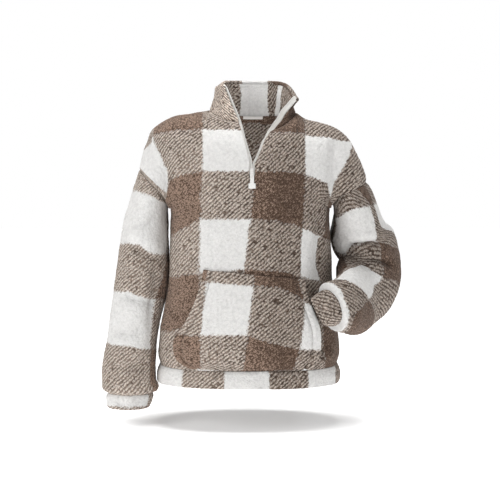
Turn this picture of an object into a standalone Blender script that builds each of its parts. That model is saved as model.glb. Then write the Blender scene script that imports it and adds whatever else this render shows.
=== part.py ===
"""Half-zip pile fleece in its worn shape: hollow, standing open, in metres, +Z up.

+X is the wearer's left and the front faces -Y. The origin is level with the tops of the
shoulders, in the middle of the neck, where the wearer carries the garment.
Every cloth piece is a wall of even thickness about a surface that is worked out from
short tables: rings down the body, a shoulder line, rings down each sleeve, a neckline.
"""

import math

import bmesh
import bpy
import numpy as np

# Cloth and seams
clothWall = 0.004
tapeWall = 0.0016
seamHalf = 0.0002  # each piece stops this far short of its seam
armholeGap = 0.0008
layerGap = 0.0004  # between one layer and the next

# Body heights
armLevel = -0.197  # bottom of both armholes
hemSeam = -0.6005
hemBottom = -0.642
bodySquare = 2.7  # how square the body is in plan, 2 being an ellipse
armholeDepth = 0.083  # half depth of the sleeve at its seam
armpitDrop = 0.020  # how far below the armpit the columns beside it start to curve

# Rings down the body: height, half width on the wearer's right and left, depth to front and back
bodyRings = np.array([
    (-0.642, 0.2320, 0.2135, 0.1400, 0.1270),
    (-0.620, 0.2310, 0.2140, 0.1400, 0.1270),
    (-0.6005, 0.2250, 0.2080, 0.1380, 0.1250),
    (-0.575, 0.2280, 0.2130, 0.1390, 0.1250),
    (-0.540, 0.2255, 0.2110, 0.1380, 0.1240),
    (-0.470, 0.2140, 0.2020, 0.1340, 0.1190),
    (-0.400, 0.2005, 0.1940, 0.1310, 0.1140),
    (-0.340, 0.1980, 0.1925, 0.1300, 0.1110),
    (-0.275, 0.1980, 0.1880, 0.1300, 0.1090),
    (-0.215, 0.1985, 0.1880, 0.1285, 0.1080),
    (-0.197, 0.2035, 0.1925, 0.1280, 0.1080),
])

# Shoulder line from the neck out to the end of the dropped shoulder: distance from the middle, height
shoulderLines = {
    -1: np.array([
        (0.1030, 0.0165), (0.1274, 0.0123), (0.1519, 0.0074), (0.1764, 0.0042), (0.2009, -0.0032),
        (0.2230, -0.0147), (0.2438, -0.0331), (0.2536, -0.0613), (0.2622, -0.0810), (0.2732, -0.1250),
    ]),
    1: np.array([
        (0.1060, 0.0110), (0.1299, -0.0049), (0.1421, -0.0085), (0.1666, -0.0137), (0.1838, -0.0185),
        (0.2034, -0.0262), (0.2254, -0.0429), (0.2377, -0.0576), (0.2499, -0.0809), (0.2622, -0.1054),
        (0.2744, -0.1360), (0.2781, -0.1556),
    ]),
}

# Neckline
neckShare = 0.30  # share of a quarter of the body's columns that end at the neckline
neckFrontDepth = 0.083
neckBackDepth = 0.066
neckFrontHeight = -0.016
neckBackHeight = 0.008

# The open zip: its tape's free edge, as distance from the middle, going up
openEdges = {
    -1: np.array([(-0.1385, 0.0011), (-0.1180, 0.0011), (-0.1065, 0.0004), (-0.0943, 0.0014), (-0.0755, 0.0071),
                  (-0.0520, 0.0142), (-0.0283, 0.0200), (-0.0071, 0.0262)]),
    1: np.array([(-0.1385, 0.0011), (-0.1180, 0.0011), (-0.1065, 0.0004), (-0.0990, 0.0050), (-0.0755, 0.0153),
                 (-0.0520, 0.0236), (-0.0330, 0.0366), (-0.0260, 0.0472)]),
}
neckEndRise = {-1: 0.009, 1: -0.010}  # how far the open front end of the neckline is lifted
tapeShow = 0.0057  # tape that shows past the cloth's edge
tapeWidth = 0.014
tapeGap = 0.0015  # between a tape and the cloth over it
facingGap = 0.0014  # between the collar's two layers

# Collar rim, from the open front end (0) past the shoulder (1) to the middle of the back (2):
# place, distance from the middle, y, height
collarRims = {
    -1: np.array([(0.0, 0.0620, -0.062, 0.0760), (0.3, 0.0770, -0.044, 0.0850), (0.6, 0.0845, -0.020, 0.0880),
                  (1.0, 0.0870, 0.010, 0.0885), (1.5, 0.0620, 0.048, 0.0885), (2.0, 0.0, 0.0610, 0.0885)]),
    1: np.array([(0.0, 0.1060, -0.050, 0.0420), (0.3, 0.1015, -0.032, 0.0560), (0.6, 0.0950, -0.013, 0.0700),
                 (1.0, 0.0835, 0.014, 0.0810), (1.5, 0.0580, 0.048, 0.0870), (2.0, 0.0, 0.0610, 0.0885)]),
}

# Right sleeve, hanging: outer edge x and z, inner edge x and z, y of the middle, half depth
rightSleeveRings = np.array([
    (-0.2732, -0.1250, -0.2035, -0.1970, 0.000, 0.083),
    (-0.2879, -0.1740, -0.2075, -0.2180, 0.000, 0.080),
    (-0.3112, -0.2475, -0.2065, -0.2720, -0.002, 0.076),
    (-0.3210, -0.3087, -0.2055, -0.3280, -0.005, 0.073),
    (-0.3308, -0.3724, -0.2045, -0.3773, -0.009, 0.071),
    (-0.3393, -0.4337, -0.2125, -0.4386, -0.014, 0.069),
    (-0.3479, -0.4949, -0.2270, -0.4974, -0.020, 0.067),
    (-0.3553, -0.5562, -0.2355, -0.5586, -0.026, 0.065),
    (-0.3626, -0.5978, -0.2370, -0.6027, -0.030, 0.065),
    (-0.3643, -0.6250, -0.2355, -0.6280, -0.032, 0.064),
    (-0.3589, -0.6490, -0.2340, -0.6510, -0.034, 0.059),
    (-0.3504, -0.6615, -0.2430, -0.6615, -0.036, 0.048),
])
rightCuffRings = np.array([
    (-0.3504, -0.6615, -0.2430, -0.6615, -0.036, 0.048),
    (-0.3528, -0.6720, -0.2438, -0.6730, -0.037, 0.046),
    (-0.3504, -0.6945, -0.2524, -0.6945, -0.039, 0.044),
])

# Left sleeve, bent: middle x, y, z; direction down the sleeve x, y, z; the ring's long way x, y, z;
# half length that way and half width across it. The first ring is the armhole.
leftSleeveRings = np.array([
    (0.2353, 0.000, -0.1763, 0.435, 0.00, -0.900, 0.90, 0.00, 0.44, 0.0475, 0.083),
    (0.2460, 0.002, -0.2046, 0.480, 0.02, -0.870, 0.90, 0.00, 0.44, 0.0530, 0.081),
    (0.2530, 0.012, -0.2401, 0.343, 0.10, -0.935, 0.95, 0.10, 0.30, 0.0590, 0.080),
    (0.2600, 0.024, -0.2780, 0.300, 0.18, -0.935, 0.80, 0.50, 0.30, 0.0670, 0.074),
])
# Round the elbow: turn in degrees from the start, reach of the middle from the pivot, half length along
# the reach and half width across it
leftElbow = np.array([
    (2, 0.084, 0.077, 0.068),
    (25, 0.091, 0.084, 0.064),
    (50, 0.097, 0.090, 0.060),
    (75, 0.098, 0.091, 0.056),
    (98, 0.096, 0.089, 0.052),
])
elbowPivot = (0.236, -0.014, -0.336)
elbowStart = (0.556, 0.735, 0.376)  # from the pivot to the sleeve's middle where the bend starts
elbowOnward = (0.350, 0.200, -0.910)  # down the sleeve where the bend starts
leftForearmRings = np.array([
    (0.2500, -0.052, -0.4380, -0.42, -0.88, -0.20, 0.15, 0.10, -0.98, 0.0860, 0.046),
    (0.2320, -0.100, -0.4430, -0.50, -0.84, -0.18, 0.05, 0.10, -0.98, 0.0770, 0.044),
    (0.2110, -0.132, -0.4450, -0.66, -0.70, -0.22, 0.00, 0.00, -1.00, 0.0650, 0.043),
    (0.1950, -0.142, -0.4460, -0.74, -0.62, -0.26, 0.00, 0.00, -1.00, 0.0580, 0.041),
    (0.1850, -0.147, -0.4460, -0.74, -0.62, -0.26, 0.00, 0.00, -1.00, 0.0430, 0.037),
])
leftCuffRings = np.array([
    (0.1710, -0.154, -0.4507, -0.82, -0.30, -0.36, 0.00, 0.00, -1.00, 0.0390, 0.034),
    (0.1570, -0.153, -0.4570, -0.88, 0.05, -0.47, 0.00, 0.00, -1.00, 0.0335, 0.030),
])

# Pocket: edges as height and x, going down
pocketSides = {
    -1: np.array([(-0.3583, -0.1155), (-0.3936, -0.1225), (-0.4407, -0.1390), (-0.4880, -0.1626),
                  (-0.5186, -0.1840), (-0.5586, -0.1870), (-0.5800, -0.1770), (-0.5960, -0.1500)]),
    1: np.array([(-0.3818, 0.1270), (-0.4054, 0.1296), (-0.4290, 0.1367), (-0.4643, 0.1508),
                 (-0.4997, 0.1620), (-0.5350, 0.1640), (-0.5700, 0.1590), (-0.5960, 0.1414)]),
}
pocketBottom = -0.5960
pocketLift = 0.0052  # from the front's middle surface to the pocket's, at its sewn edges
pocketBand = 0.020

# Zip slider and pull: hinge axis along x
sliderTop = -0.1180
sliderBottom = -0.1365
hingeHeight = -0.1325
pullBottom = -0.1655

# How finely each piece is divided
neckColumns = 5
shoulderColumns = 8
slitRow = 4  # row above the armhole's level where the slit starts
slitRise = 0.375
lowRises = np.array([0, 0.05, 0.14, 0.28, 0.44, 0.60, 0.76, 0.90, 1])
highRises = np.array([0, 0.11, 0.22, 0.31, slitRise, 0.388, 0.46, 0.50, 0.60, 0.72, 0.86, 1])


def smoothCurve(knots, values, at):
    """A cubic through the rows of a table, with each slope taken from the rows on either side."""
    knots = np.asarray(knots, float)
    values = np.asarray(values, float)
    at = np.clip(np.asarray(at, float), knots[0], knots[-1])
    steps = np.diff(knots)
    rates = np.diff(values, axis=0) / (steps if values.ndim == 1 else steps[:, None])
    slopes = np.empty_like(values)
    slopes[0] = rates[0]
    slopes[-1] = rates[-1]
    before, after = steps[:-1], steps[1:]
    if values.ndim > 1:
        before, after = before[:, None], after[:, None]
    slopes[1:-1] = (rates[:-1] * after + rates[1:] * before) / (before + after)
    row = np.clip(np.searchsorted(knots, at, side="right") - 1, 0, len(knots) - 2)
    step = steps[row]
    t = (at - knots[row]) / step
    if values.ndim > 1:
        t, step = t[..., None], step[..., None]
    return ((1 + 2 * t) * (1 - t) ** 2 * values[row] + t * (1 - t) ** 2 * step * slopes[row]
            + t ** 2 * (3 - 2 * t) * values[row + 1] + t ** 2 * (t - 1) * step * slopes[row + 1])


def ease(t):
    """0 to 1 with flat ends."""
    t = np.clip(t, 0, 1)
    return t * t * (3 - 2 * t)


def unit(vectors):
    return vectors / np.maximum(np.linalg.norm(vectors, axis=-1, keepdims=True), 1e-12)


def ringQuarter(side, face, across, height):
    """A point of the body's ring at this height, across from the middle (0) to the side seam (1)."""
    rows = bodyRings
    width = smoothCurve(rows[:, 0], rows[:, 1 if side < 0 else 2], height)
    depth = smoothCurve(rows[:, 0], rows[:, 3 if face < 0 else 4], height)
    angle = np.clip(across, 0, 1) * math.pi / 2
    x = side * width * np.sin(angle) ** (2 / bodySquare)
    y = face * depth * np.abs(np.cos(angle)) ** (2 / bodySquare)
    return x, y


def topEdge(side, face, across):
    """Where each column of the body ends: on the neckline up to neckShare, then on the shoulder line."""
    line = shoulderLines[side]
    lengths = np.concatenate([[0], np.cumsum(np.linalg.norm(np.diff(line, axis=0), axis=1))])
    share = np.clip((across - neckShare) / (1 - neckShare), 0, 1)
    onShoulder = smoothCurve(lengths / lengths[-1], line, share)
    angle = np.clip(across / neckShare, 0, 1) * math.pi / 2
    neckDepth = neckFrontDepth if face < 0 else neckBackDepth
    neckHeight = neckFrontHeight if face < 0 else neckBackHeight
    isNeck = across < neckShare
    x = np.where(isNeck, line[0, 0] * np.sin(angle), onShoulder[..., 0])
    y = np.where(isNeck, neckDepth * np.cos(angle), 0.0)
    climb = 1 - np.maximum(np.cos(angle), 0) ** 2.6
    z = np.where(isNeck, neckHeight + (line[0, 1] - neckHeight) * climb, onShoulder[..., 1])
    return side * x, y, z


def besideArmhole(across):
    """1 for the column next to the armhole, 0 at the armhole and toward the middle of the body."""
    return ease((1 - across) / 0.0875) * (1 - ease((0.9 - across) / 0.4))


def bodyPoint(side, face, across, up, setback=tapeShow):
    """The body's surface: up runs from the hem (0) to the armhole's level (1) to the shoulder or neck (2).
    Above the armhole a column is part of a superellipse, from the ring's depth over to the shoulder line,
    so the columns at the armhole close round the arm. Those beside it start lower and stay nearer the
    body, as cloth does round an armpit. The columns at the open zip lean out to its edge."""
    across, up = np.broadcast_arrays(np.asarray(across, float), np.asarray(up, float))
    beside = besideArmhole(across)
    level = armLevel - armpitDrop * beside
    lowZ = hemSeam + (level - hemSeam) * np.clip(up, 0, 1)
    lowX, lowY = ringQuarter(side, face, across, lowZ)
    baseX, baseY = ringQuarter(side, face, across, armLevel)
    topX, topY, topZ = topEdge(side, face, across)
    rise = np.clip(up - 1, 0, 1)
    share = (1 - np.cos(math.pi * rise)) / 2
    depth = (np.abs(baseY) ** 6 + armholeDepth ** 6) ** (1 / 6)
    square = 2 + 0.6 * (1 - ease((across - 0.5) / 0.5))
    start = -np.maximum(1 - (np.abs(baseY) / depth) ** square, 0) ** (1 / square)
    end = np.maximum(1 - (topY / depth) ** square, 0) ** (1 / square)
    place = start + (end - start) * share
    highY = face * depth * np.maximum(1 - np.abs(place) ** square, 0) ** (1 / square)
    highX = baseX + (topX - baseX) * share ** (1 + 0.6 * beside)
    highZ = level + (topZ - level) * share
    if face < 0:
        near = np.clip(1 - across / neckShare, 0, 1) ** 1.5
        highZ = highZ + neckEndRise[side] * share ** 3 * near
        edge = openEdges[side]
        opened = np.interp(highZ, edge[:, 0], edge[:, 1])
        isOpen = rise > slitRise + 1e-6
        shown = setback * ease((rise - slitRise) / 0.012)
        highX = highX + side * np.where(isOpen, opened + shown, 0) * near
    upper = up > 1
    return np.stack([np.where(upper, highX, lowX), np.where(upper, highY, lowY),
                     np.where(upper, highZ, lowZ)], axis=-1)


def ringNormal(side, face, across, height):
    """Outward direction, level, of the body's ring."""
    rows = bodyRings
    width = smoothCurve(rows[:, 0], rows[:, 1 if side < 0 else 2], height)
    depth = smoothCurve(rows[:, 0], rows[:, 3 if face < 0 else 4], height)
    angle = np.clip(across, 0, 1) * math.pi / 2
    power = 2 * (bodySquare - 1) / bodySquare
    x = side * np.sin(angle) ** power / width
    y = face * np.abs(np.cos(angle)) ** power / depth
    return unit(np.stack([x, y, np.zeros_like(x)], axis=-1))


def bodyNormal(side, face, across, up):
    """Outward direction of the body's surface, from points a small step either way."""
    step = 0.004
    across, up = np.broadcast_arrays(np.asarray(across, float), np.asarray(up, float))
    alongA = (bodyPoint(side, face, np.clip(across + step, 0, 1), up)
              - bodyPoint(side, face, np.clip(across - step, 0, 1), up))
    alongU = (bodyPoint(side, face, across, np.clip(up + step, 0, 2))
              - bodyPoint(side, face, across, np.clip(up - step, 0, 2)))
    return unit(np.cross(alongA, alongU)) * (-side * face)


def shoulderNormal(side, across):
    """At the shoulder seam the cloth faces straight away from the shoulder line."""
    line = shoulderLines[side]
    lengths = np.concatenate([[0], np.cumsum(np.linalg.norm(np.diff(line, axis=0), axis=1))])
    share = np.clip((across - neckShare) / (1 - neckShare), 0, 1)
    ahead = smoothCurve(lengths / lengths[-1], line, np.clip(share + 0.01, 0, 1))
    behind = smoothCurve(lengths / lengths[-1], line, np.clip(share - 0.01, 0, 1))
    run = unit(ahead - behind)
    return np.stack([-side * run[..., 1], np.zeros_like(share), run[..., 0]], axis=-1)


def armholeEnds(side):
    """The two ends of the armhole: the end of the shoulder line and the armpit."""
    line = shoulderLines[side]
    outer = np.array([side * line[-1, 0], 0, line[-1, 1]])
    inner = np.array([float(ringQuarter(side, -1, 1.0, armLevel)[0]), 0, armLevel])
    return outer, inner


def ellipseNormal(points, middle, halfLong, halfDeep):
    """Outward direction, in its own plane, of an ellipse with these conjugate half axes."""
    axes = np.stack([halfLong, halfDeep])
    dual = np.linalg.solve(axes @ axes.T, axes)
    spoke = points - middle
    return unit((spoke @ dual.T) @ dual)


def armholeSeam(side):
    """Points round the armhole from the armpit over the front, the direction the cloth of body and
    sleeve share at each, and the direction across the seam into the body."""
    outer, inner = armholeEnds(side)
    long, deep = (outer - inner) / 2, np.array([0, -armholeDepth, 0])
    angles = loopAngles()[:, None]
    points = (outer + inner) / 2 - np.cos(angles) * long + np.sin(angles) * deep
    run = np.sin(angles) * long + np.cos(angles) * deep
    sleeveWay = ellipseNormal(points, (outer + inner) / 2, long, deep)
    half = len(highRises)
    front = bodyNormal(side, -1, 0.97, 1 + highRises)
    back = bodyNormal(side, 1, 0.97, 1 + highRises[-2:0:-1])
    bodyWay = np.concatenate([front, back])
    bodyWay[0] = (side, 0, 0)
    bodyWay[half - 1] = sleeveWay[half - 1]
    normals = unit(bodyWay + sleeveWay)
    across = unit(np.cross(run, normals))
    towardBody = unit(np.cross(long, (0, side, 0))) - np.array([side, 0, 0])
    return points, normals, across * np.sign((across * towardBody).sum(axis=-1, keepdims=True))


def halfColumns():
    """Places across a half panel: even steps along the neckline, then even steps to the side."""
    neck = np.linspace(0, neckShare, neckColumns + 1)
    return np.concatenate([neck, np.linspace(neckShare, 1, shoulderColumns + 1)[1:]])


def collarBase(side, place):
    """The neckline, from the open front end (0) past the shoulder (1) to the middle of the back (2)."""
    front = bodyPoint(side, -1, np.minimum(place, 1) * neckShare, 2)
    back = bodyPoint(side, 1, (2 - np.maximum(place, 1)) * neckShare, 2)
    return np.where((place <= 1)[..., None], front, back)


def collarPoint(side, place, up):
    """The collar's surface: it leaves the neckline at a slope and soon stands up straight."""
    place, up = np.broadcast_arrays(np.asarray(place, float), np.asarray(up, float))
    base = collarBase(side, place)
    rim = collarRims[side]
    top = smoothCurve(rim[:, 0], rim[:, 1:], place) * np.array([side, 1, 1])
    top[..., 0] += side * tapeShow * np.clip(1 - place, 0, 1) ** 3
    out = (1 - (1 - up) ** (1 + 1.2 * ease(place / 0.6)))[..., None]
    sideways = base + (top - base) * out
    height = base[..., 2] + (top[..., 2] - base[..., 2]) * up
    return np.concatenate([sideways[..., :2], height[..., None]], axis=-1)


def collarNormal(side, place, up):
    """Outward direction of the collar's surface."""
    step = 0.01
    place, up = np.broadcast_arrays(np.asarray(place, float), np.asarray(up, float))
    along = (collarPoint(side, np.clip(place + step, 0, 2), up)
             - collarPoint(side, np.clip(place - step, 0, 2), up))
    rise = (collarPoint(side, place, np.clip(up + step, 0, 1))
            - collarPoint(side, place, np.clip(up - step, 0, 1)))
    return unit(np.cross(along, rise)) * side


def neckNormal(side, place):
    """Shared direction of body and collar where they meet: outward, and up more at the shoulders."""
    place = np.asarray(place, float)
    normal = collarNormal(side, place, 0.3)
    normal[..., 2] = 0
    normal = unit(normal)
    normal[..., 2] = 0.58 + 0.5 * (1 - np.abs(1 - place)) ** 2
    normal[..., 0] = np.where(place > 2 - 1e-6, 0, normal[..., 0])
    return unit(normal)


def intoCollar(side, place):
    """Across the neck seam, in the plane of the cloth, from the body to the collar."""
    place = np.asarray(place, float)
    step = 0.01
    run = collarBase(side, np.clip(place + step, 0, 2)) - collarBase(side, np.clip(place - step, 0, 2))
    way = unit(np.cross(run, neckNormal(side, place)))
    rise = collarPoint(side, place, 0.1) - collarPoint(side, place, 0.0)
    return way * np.sign((way * rise).sum(axis=-1, keepdims=True))


def panelHalf(side, face):
    """Points and normals of half of the front or back, columns from the middle to the side seam."""
    columns = halfColumns()
    lowRows = len(lowRises) - 1
    rows = np.concatenate([lowRises, 1 + highRises[1:]])
    across, up = columns[:, None], rows[None, :]
    points = bodyPoint(side, face, across, up)
    normals = bodyNormal(side, face, np.clip(across, 0.006, 0.99), np.clip(up, 0, 1.985))
    heights = hemSeam + (armLevel - hemSeam) * lowRises[None, :lowRows]
    normals[:, :lowRows] = ringNormal(side, face, *np.broadcast_arrays(across, heights))
    seamPoints, seamNormals, intoBody = armholeSeam(side)
    order = np.arange(len(highRises)) * (1 if face < 0 else -1)
    onShoulder = columns > neckShare + 1e-9
    normals[onShoulder, -1] = shoulderNormal(side, columns[onShoulder])
    normals[-1, lowRows:] = seamNormals[order]
    place = columns[:neckColumns + 1] / neckShare
    neckPlace = place if face < 0 else 2 - place
    normals[:neckColumns + 1, -1] = neckNormal(side, neckPlace)
    closed = len(rows) if face > 0 else lowRows + slitRow + 1
    normals[0, :closed, 0] = 0
    normals = unit(normals)
    points[:neckColumns + 1, -1] -= intoCollar(side, neckPlace) * seamHalf
    points[-1, lowRows:] = seamPoints[order] + intoBody[order] * armholeGap / 2
    points[:, 0, 2] += seamHalf
    points[-1, :lowRows + 1, 1] = face * seamHalf
    points[neckColumns:, -1, 1] = face * seamHalf
    return points, normals


def wallMesh(name, points, normals, quads, thickness=clothWall):
    """A closed solid: the surface moved out and in by half the wall, joined along its open edges."""
    count = len(points)
    outside = points + normals * thickness / 2
    inside = points - normals * thickness / 2
    used = set()
    for quad in quads:
        used.update(zip(quad, quad[1:] + quad[:1]))
    faces = list(quads)
    faces += [(count + a, count + d, count + c, count + b) for a, b, c, d in quads]
    faces += [(b, a, a + count, b + count) for (a, b) in sorted(used) if (b, a) not in used]
    return name, np.concatenate([outside, inside]), faces


def gridQuads(index, flip=False):
    """The quads of a grid of point numbers."""
    quads = []
    for i in range(index.shape[0] - 1):
        for j in range(index.shape[1] - 1):
            quad = [int(index[i, j]), int(index[i + 1, j]), int(index[i + 1, j + 1]), int(index[i, j + 1])]
            quads.append((quad[0], quad[3], quad[2], quad[1]) if flip else tuple(quad))
    return quads


def gridMesh(name, points, normals, thickness=clothWall, ringed=False):
    """A wall on one grid of points; ringed joins its last column to its first."""
    index = np.arange(points.shape[0] * points.shape[1]).reshape(points.shape[:2])
    if ringed:
        index = np.concatenate([index, index[:1]])
    facing = np.cross(points[1:, :-1] - points[:-1, :-1], points[:-1, 1:] - points[:-1, :-1])
    flip = bool((facing * normals[:-1, :-1]).sum() < 0)
    return wallMesh(name, points.reshape(-1, 3), normals.reshape(-1, 3), gridQuads(index, flip), thickness)


def bodyPanel(name, face):
    """Front or back: two halves that share their middle column, apart from the slit's."""
    shared = len(lowRises) + slitRow if face < 0 else len(lowRises) + len(highRises) - 1
    points, normals, quads = [], [], []
    first = None
    count = 0
    for side in (-1, 1):
        halfPoints, halfNormals = panelHalf(side, face)
        index = count + np.arange(halfPoints.shape[0] * halfPoints.shape[1]).reshape(halfPoints.shape[:2])
        if first is None:
            first = index
        else:
            index[0, :shared] = first[0, :shared]
        points.append(halfPoints.reshape(-1, 3))
        normals.append(halfNormals.reshape(-1, 3))
        quads += gridQuads(index, flip=side * face > 0)
        count += halfPoints.shape[0] * halfPoints.shape[1]
    points, normals = np.concatenate(points), np.concatenate(normals)
    kept = sorted({i for quad in quads for i in quad})
    renumber = {old: new for new, old in enumerate(kept)}
    quads = [tuple(renumber[i] for i in quad) for quad in quads]
    return wallMesh(name, points[kept], normals[kept], quads)


def hemBand():
    """The band below the body: one ring all round, under the body's own columns."""
    columns = halfColumns()
    heights = np.array([hemSeam - seamHalf, -0.618, hemBottom])
    points, normals = [], []
    quarters = ((-1, -1, columns[:-1]), (-1, 1, columns[:0:-1]), (1, 1, columns[:-1]), (1, -1, columns[:0:-1]))
    for side, face, places in quarters:
        across, height = np.broadcast_arrays(places[:, None], heights[None, :])
        x, y = ringQuarter(side, face, across, height)
        points.append(np.stack([x, y, height], axis=-1))
        normals.append(ringNormal(side, face, across, height))
    return gridMesh("hem_band", np.concatenate(points), np.concatenate(normals), ringed=True)


def loopAngles():
    """Round a sleeve from the armpit over the front and the shoulder to the back, at the panels' own rows."""
    return np.concatenate([highRises * math.pi, (2 - highRises[-2:0:-1]) * math.pi])


def gridNormals(points):
    """Outward direction at each point of a tube's grid, from the points around it."""
    round_ = np.roll(points, -1, axis=0) - np.roll(points, 1, axis=0)
    down = np.empty_like(points)
    down[:, 1:-1] = points[:, 2:] - points[:, :-2]
    down[:, 0] = points[:, 1] - points[:, 0]
    down[:, -1] = points[:, -1] - points[:, -2]
    normals = unit(np.cross(round_, down))
    spokes = points - points.mean(axis=0)
    return normals * np.sign((normals * spokes).sum())


def tube(name, middles, halfLongs, halfDeeps, armhole=None):
    """A sleeve or cuff: ellipses about each middle, from the inner side round, pulled back at both ends."""
    angles = loopAngles()
    across = -np.cos(angles)[:, None, None] * halfLongs[None]
    deep = np.sin(angles)[:, None, None] * halfDeeps[None]
    points = middles[None] + across + deep
    normals = gridNormals(points)
    for end, inner in ((0, 1), (-1, -2)):
        normals[:, end] = ellipseNormal(points[:, end], middles[end], halfLongs[end], halfDeeps[end])
        axis = unit(np.cross(halfLongs[end], halfDeeps[end]))
        toward = math.copysign(1, np.dot(middles[inner] - middles[end], axis))
        points[:, end] += axis * toward * seamHalf
    if armhole is not None:
        seamPoints, normals[:, 0], intoBody = armholeSeam(armhole)
        points[:, 0] = seamPoints - intoBody * armholeGap / 2
    return gridMesh(name, points, normals, ringed=True)


def hangingTube(name, rings, armhole=None):
    """A tube whose rings are given by their outer and inner edges."""
    zero = np.zeros(len(rings))
    outer = np.stack([rings[:, 0], zero, rings[:, 1]], axis=-1)
    inner = np.stack([rings[:, 2], zero, rings[:, 3]], axis=-1)
    middles = (outer + inner) / 2 + np.stack([zero, rings[:, 4], zero], axis=-1)
    halfDeeps = np.stack([zero, -rings[:, 5], zero], axis=-1)
    return tube(name, middles, (outer - inner) / 2, halfDeeps, armhole)


def transported(directions, firstAcross):
    """The direction across each ring, carried along the tube without twist."""
    across = [unit(firstAcross)]
    for direction in directions[1:]:
        last = across[-1] - np.dot(across[-1], direction) * direction
        across.append(unit(last))
    return np.array(across)


def elbowRings():
    """Rings that fan round the pivot at the crook of the elbow."""
    start = unit(np.array(elbowStart))
    onward = np.array(elbowOnward)
    onward = unit(onward - np.dot(onward, start) * start)
    rings = []
    for turn, reach, longHalf, wideHalf in leftElbow:
        cos, sin = math.cos(math.radians(turn)), math.sin(math.radians(turn))
        reaching = cos * start + sin * onward
        middle = np.array(elbowPivot) + reach * reaching
        rings.append((*middle, *(cos * onward - sin * start), *reaching, longHalf, wideHalf))
    return np.array(rings)


def bentTubes():
    """The bent sleeve and its cuff: rings down to the elbow, a fan of rings round it, then the forearm."""
    outer, inner = armholeEnds(1)
    sleeve = np.concatenate([leftSleeveRings, elbowRings(), leftForearmRings])
    rings = np.concatenate([sleeve, leftCuffRings])
    middles = rings[:, :3].copy()
    directions = unit(rings[:, 3:6])
    middles[0] = (outer + inner) / 2
    directions[0] = unit(np.cross((0, 1, 0), outer - inner))
    across = transported(directions, outer - inner)
    frontward = np.cross(directions, across)
    frontward *= np.sign(-frontward[0, 1])
    longWay = rings[:, 6:9] - (rings[:, 6:9] * directions).sum(axis=-1, keepdims=True) * directions
    longWay = unit(longWay)
    wideWay = np.cross(directions, longWay)

    def stretched(way):
        """A unit direction in each ring's plane, scaled along the ring's two axes."""
        lengthwise = (way * longWay).sum(axis=-1) * rings[:, 9]
        widthwise = (way * wideWay).sum(axis=-1) * rings[:, 10]
        return lengthwise[:, None] * longWay + widthwise[:, None] * wideWay

    halfLongs, halfDeeps = stretched(across), stretched(frontward)
    halfLongs[0] = (outer - inner) / 2
    halfDeeps[0] = (0, -armholeDepth, 0)
    seam = len(sleeve)
    return (tube("sleeve_left", middles[:seam], halfLongs[:seam], halfDeeps[:seam], armhole=1),
            tube("cuff_left", middles[seam - 1:], halfLongs[seam - 1:], halfDeeps[seam - 1:]))


collarRises = np.array([0, 0.12, 0.32, 0.62, 1])


def collarPlaces():
    """Places of the collar's columns, from one open end to the middle of the back."""
    return np.concatenate([np.linspace(0, 1, neckColumns + 1), np.linspace(1, 2, neckColumns + 1)[1:]])


def collarGrid():
    """Points and normals of the collar from its right end round the back to its left end."""
    places = collarPlaces()
    points, normals = [], []
    for side, order in ((-1, places), (1, places[-2::-1])):
        place, up = np.broadcast_arrays(order[:, None], collarRises[None, :])
        points.append(collarPoint(side, place, up))
        normal = collarNormal(side, place, up)
        normal[:, 0] = neckNormal(side, order)
        normal[:, -1, 2] = 0
        normals.append(unit(normal))
    points, normals = np.concatenate(points), np.concatenate(normals)
    middle = 2 * neckColumns
    normals[middle, :, 0] = 0
    return points, unit(normals)


def collarLayers():
    """The collar's outer layer and, inside it, the facing that stops at the zip's tapes."""
    points, normals = collarGrid()
    outer = points.copy()
    half = 2 * neckColumns + 1
    places = collarPlaces()
    outer[:half, 0] += intoCollar(-1, places) * seamHalf
    outer[half:, 0] += intoCollar(1, places[-2::-1]) * seamHalf
    inner = points - normals * (clothWall + facingGap)
    inner[:, 0] += unit(inner[:, 1] - inner[:, 0]) * 0.001
    ways = normals.copy()
    past = tapeWidth - tapeShow + 0.0024
    for end, beside in ((0, 1), (-1, -2)):
        share = past / np.linalg.norm(inner[beside] - inner[end], axis=-1, keepdims=True)
        inner[end] += (inner[beside] - inner[end]) * share
        ways[end] += (normals[beside] - normals[end]) * share
    return gridMesh("collar", outer, normals), gridMesh("collar_facing", inner, ways)


def zipTape(name, side):
    """A tape under the opening's edge: from just below the slit, past the neckline, to the collar's rim.
    It keeps the same distance from the cloth all the way, and its free edge stands out past the cloth's."""
    lowRows = len(lowRises) - 1
    panel, panelNormals = panelHalf(side, -1)
    panel[:, -1] = bodyPoint(side, -1, halfColumns(), 2)
    ends = (0, 1) if side < 0 else (-1, -2)
    collar, collarNormals = collarGrid()
    rows = slice(lowRows + slitRow - 1, None)
    edge, beside = (np.concatenate([panel[i, rows], collar[ends[i], 1:]]) for i in (0, 1))
    edgeWay, besideWay = (np.concatenate([panelNormals[i, rows], collarNormals[ends[i], 1:]]) for i in (0, 1))
    start = np.full(len(edge), -tapeShow)
    start[:2] = seamHalf + 0.0003
    span = np.linalg.norm(beside - edge, axis=-1)
    level = -(clothWall + tapeWall) / 2 - tapeGap
    points, ways = [], []
    for distance in (0, tapeWidth / 2, tapeWidth):
        share = ((start + distance) / span)[:, None]
        way = edgeWay + (besideWay - edgeWay) * share
        points.append(edge + (beside - edge) * share + way * level)
        ways.append(way)
    points = np.stack(points)
    points[:, 0, 2] = points[:, 1, 2] - 0.012
    return gridMesh(name, points, np.stack(ways), thickness=tapeWall)


def frontDepth(x, z):
    """How far forward the front lies at this place below the armholes."""
    rows = bodyRings
    right = smoothCurve(rows[:, 0], rows[:, 1], z)
    left = smoothCurve(rows[:, 0], rows[:, 2], z)
    width = np.where(x < 0, right, left)
    depth = smoothCurve(rows[:, 0], rows[:, 3], z)
    return depth * np.maximum(1 - (np.abs(x) / width) ** bodySquare, 0) ** (1 / bodySquare)


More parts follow.
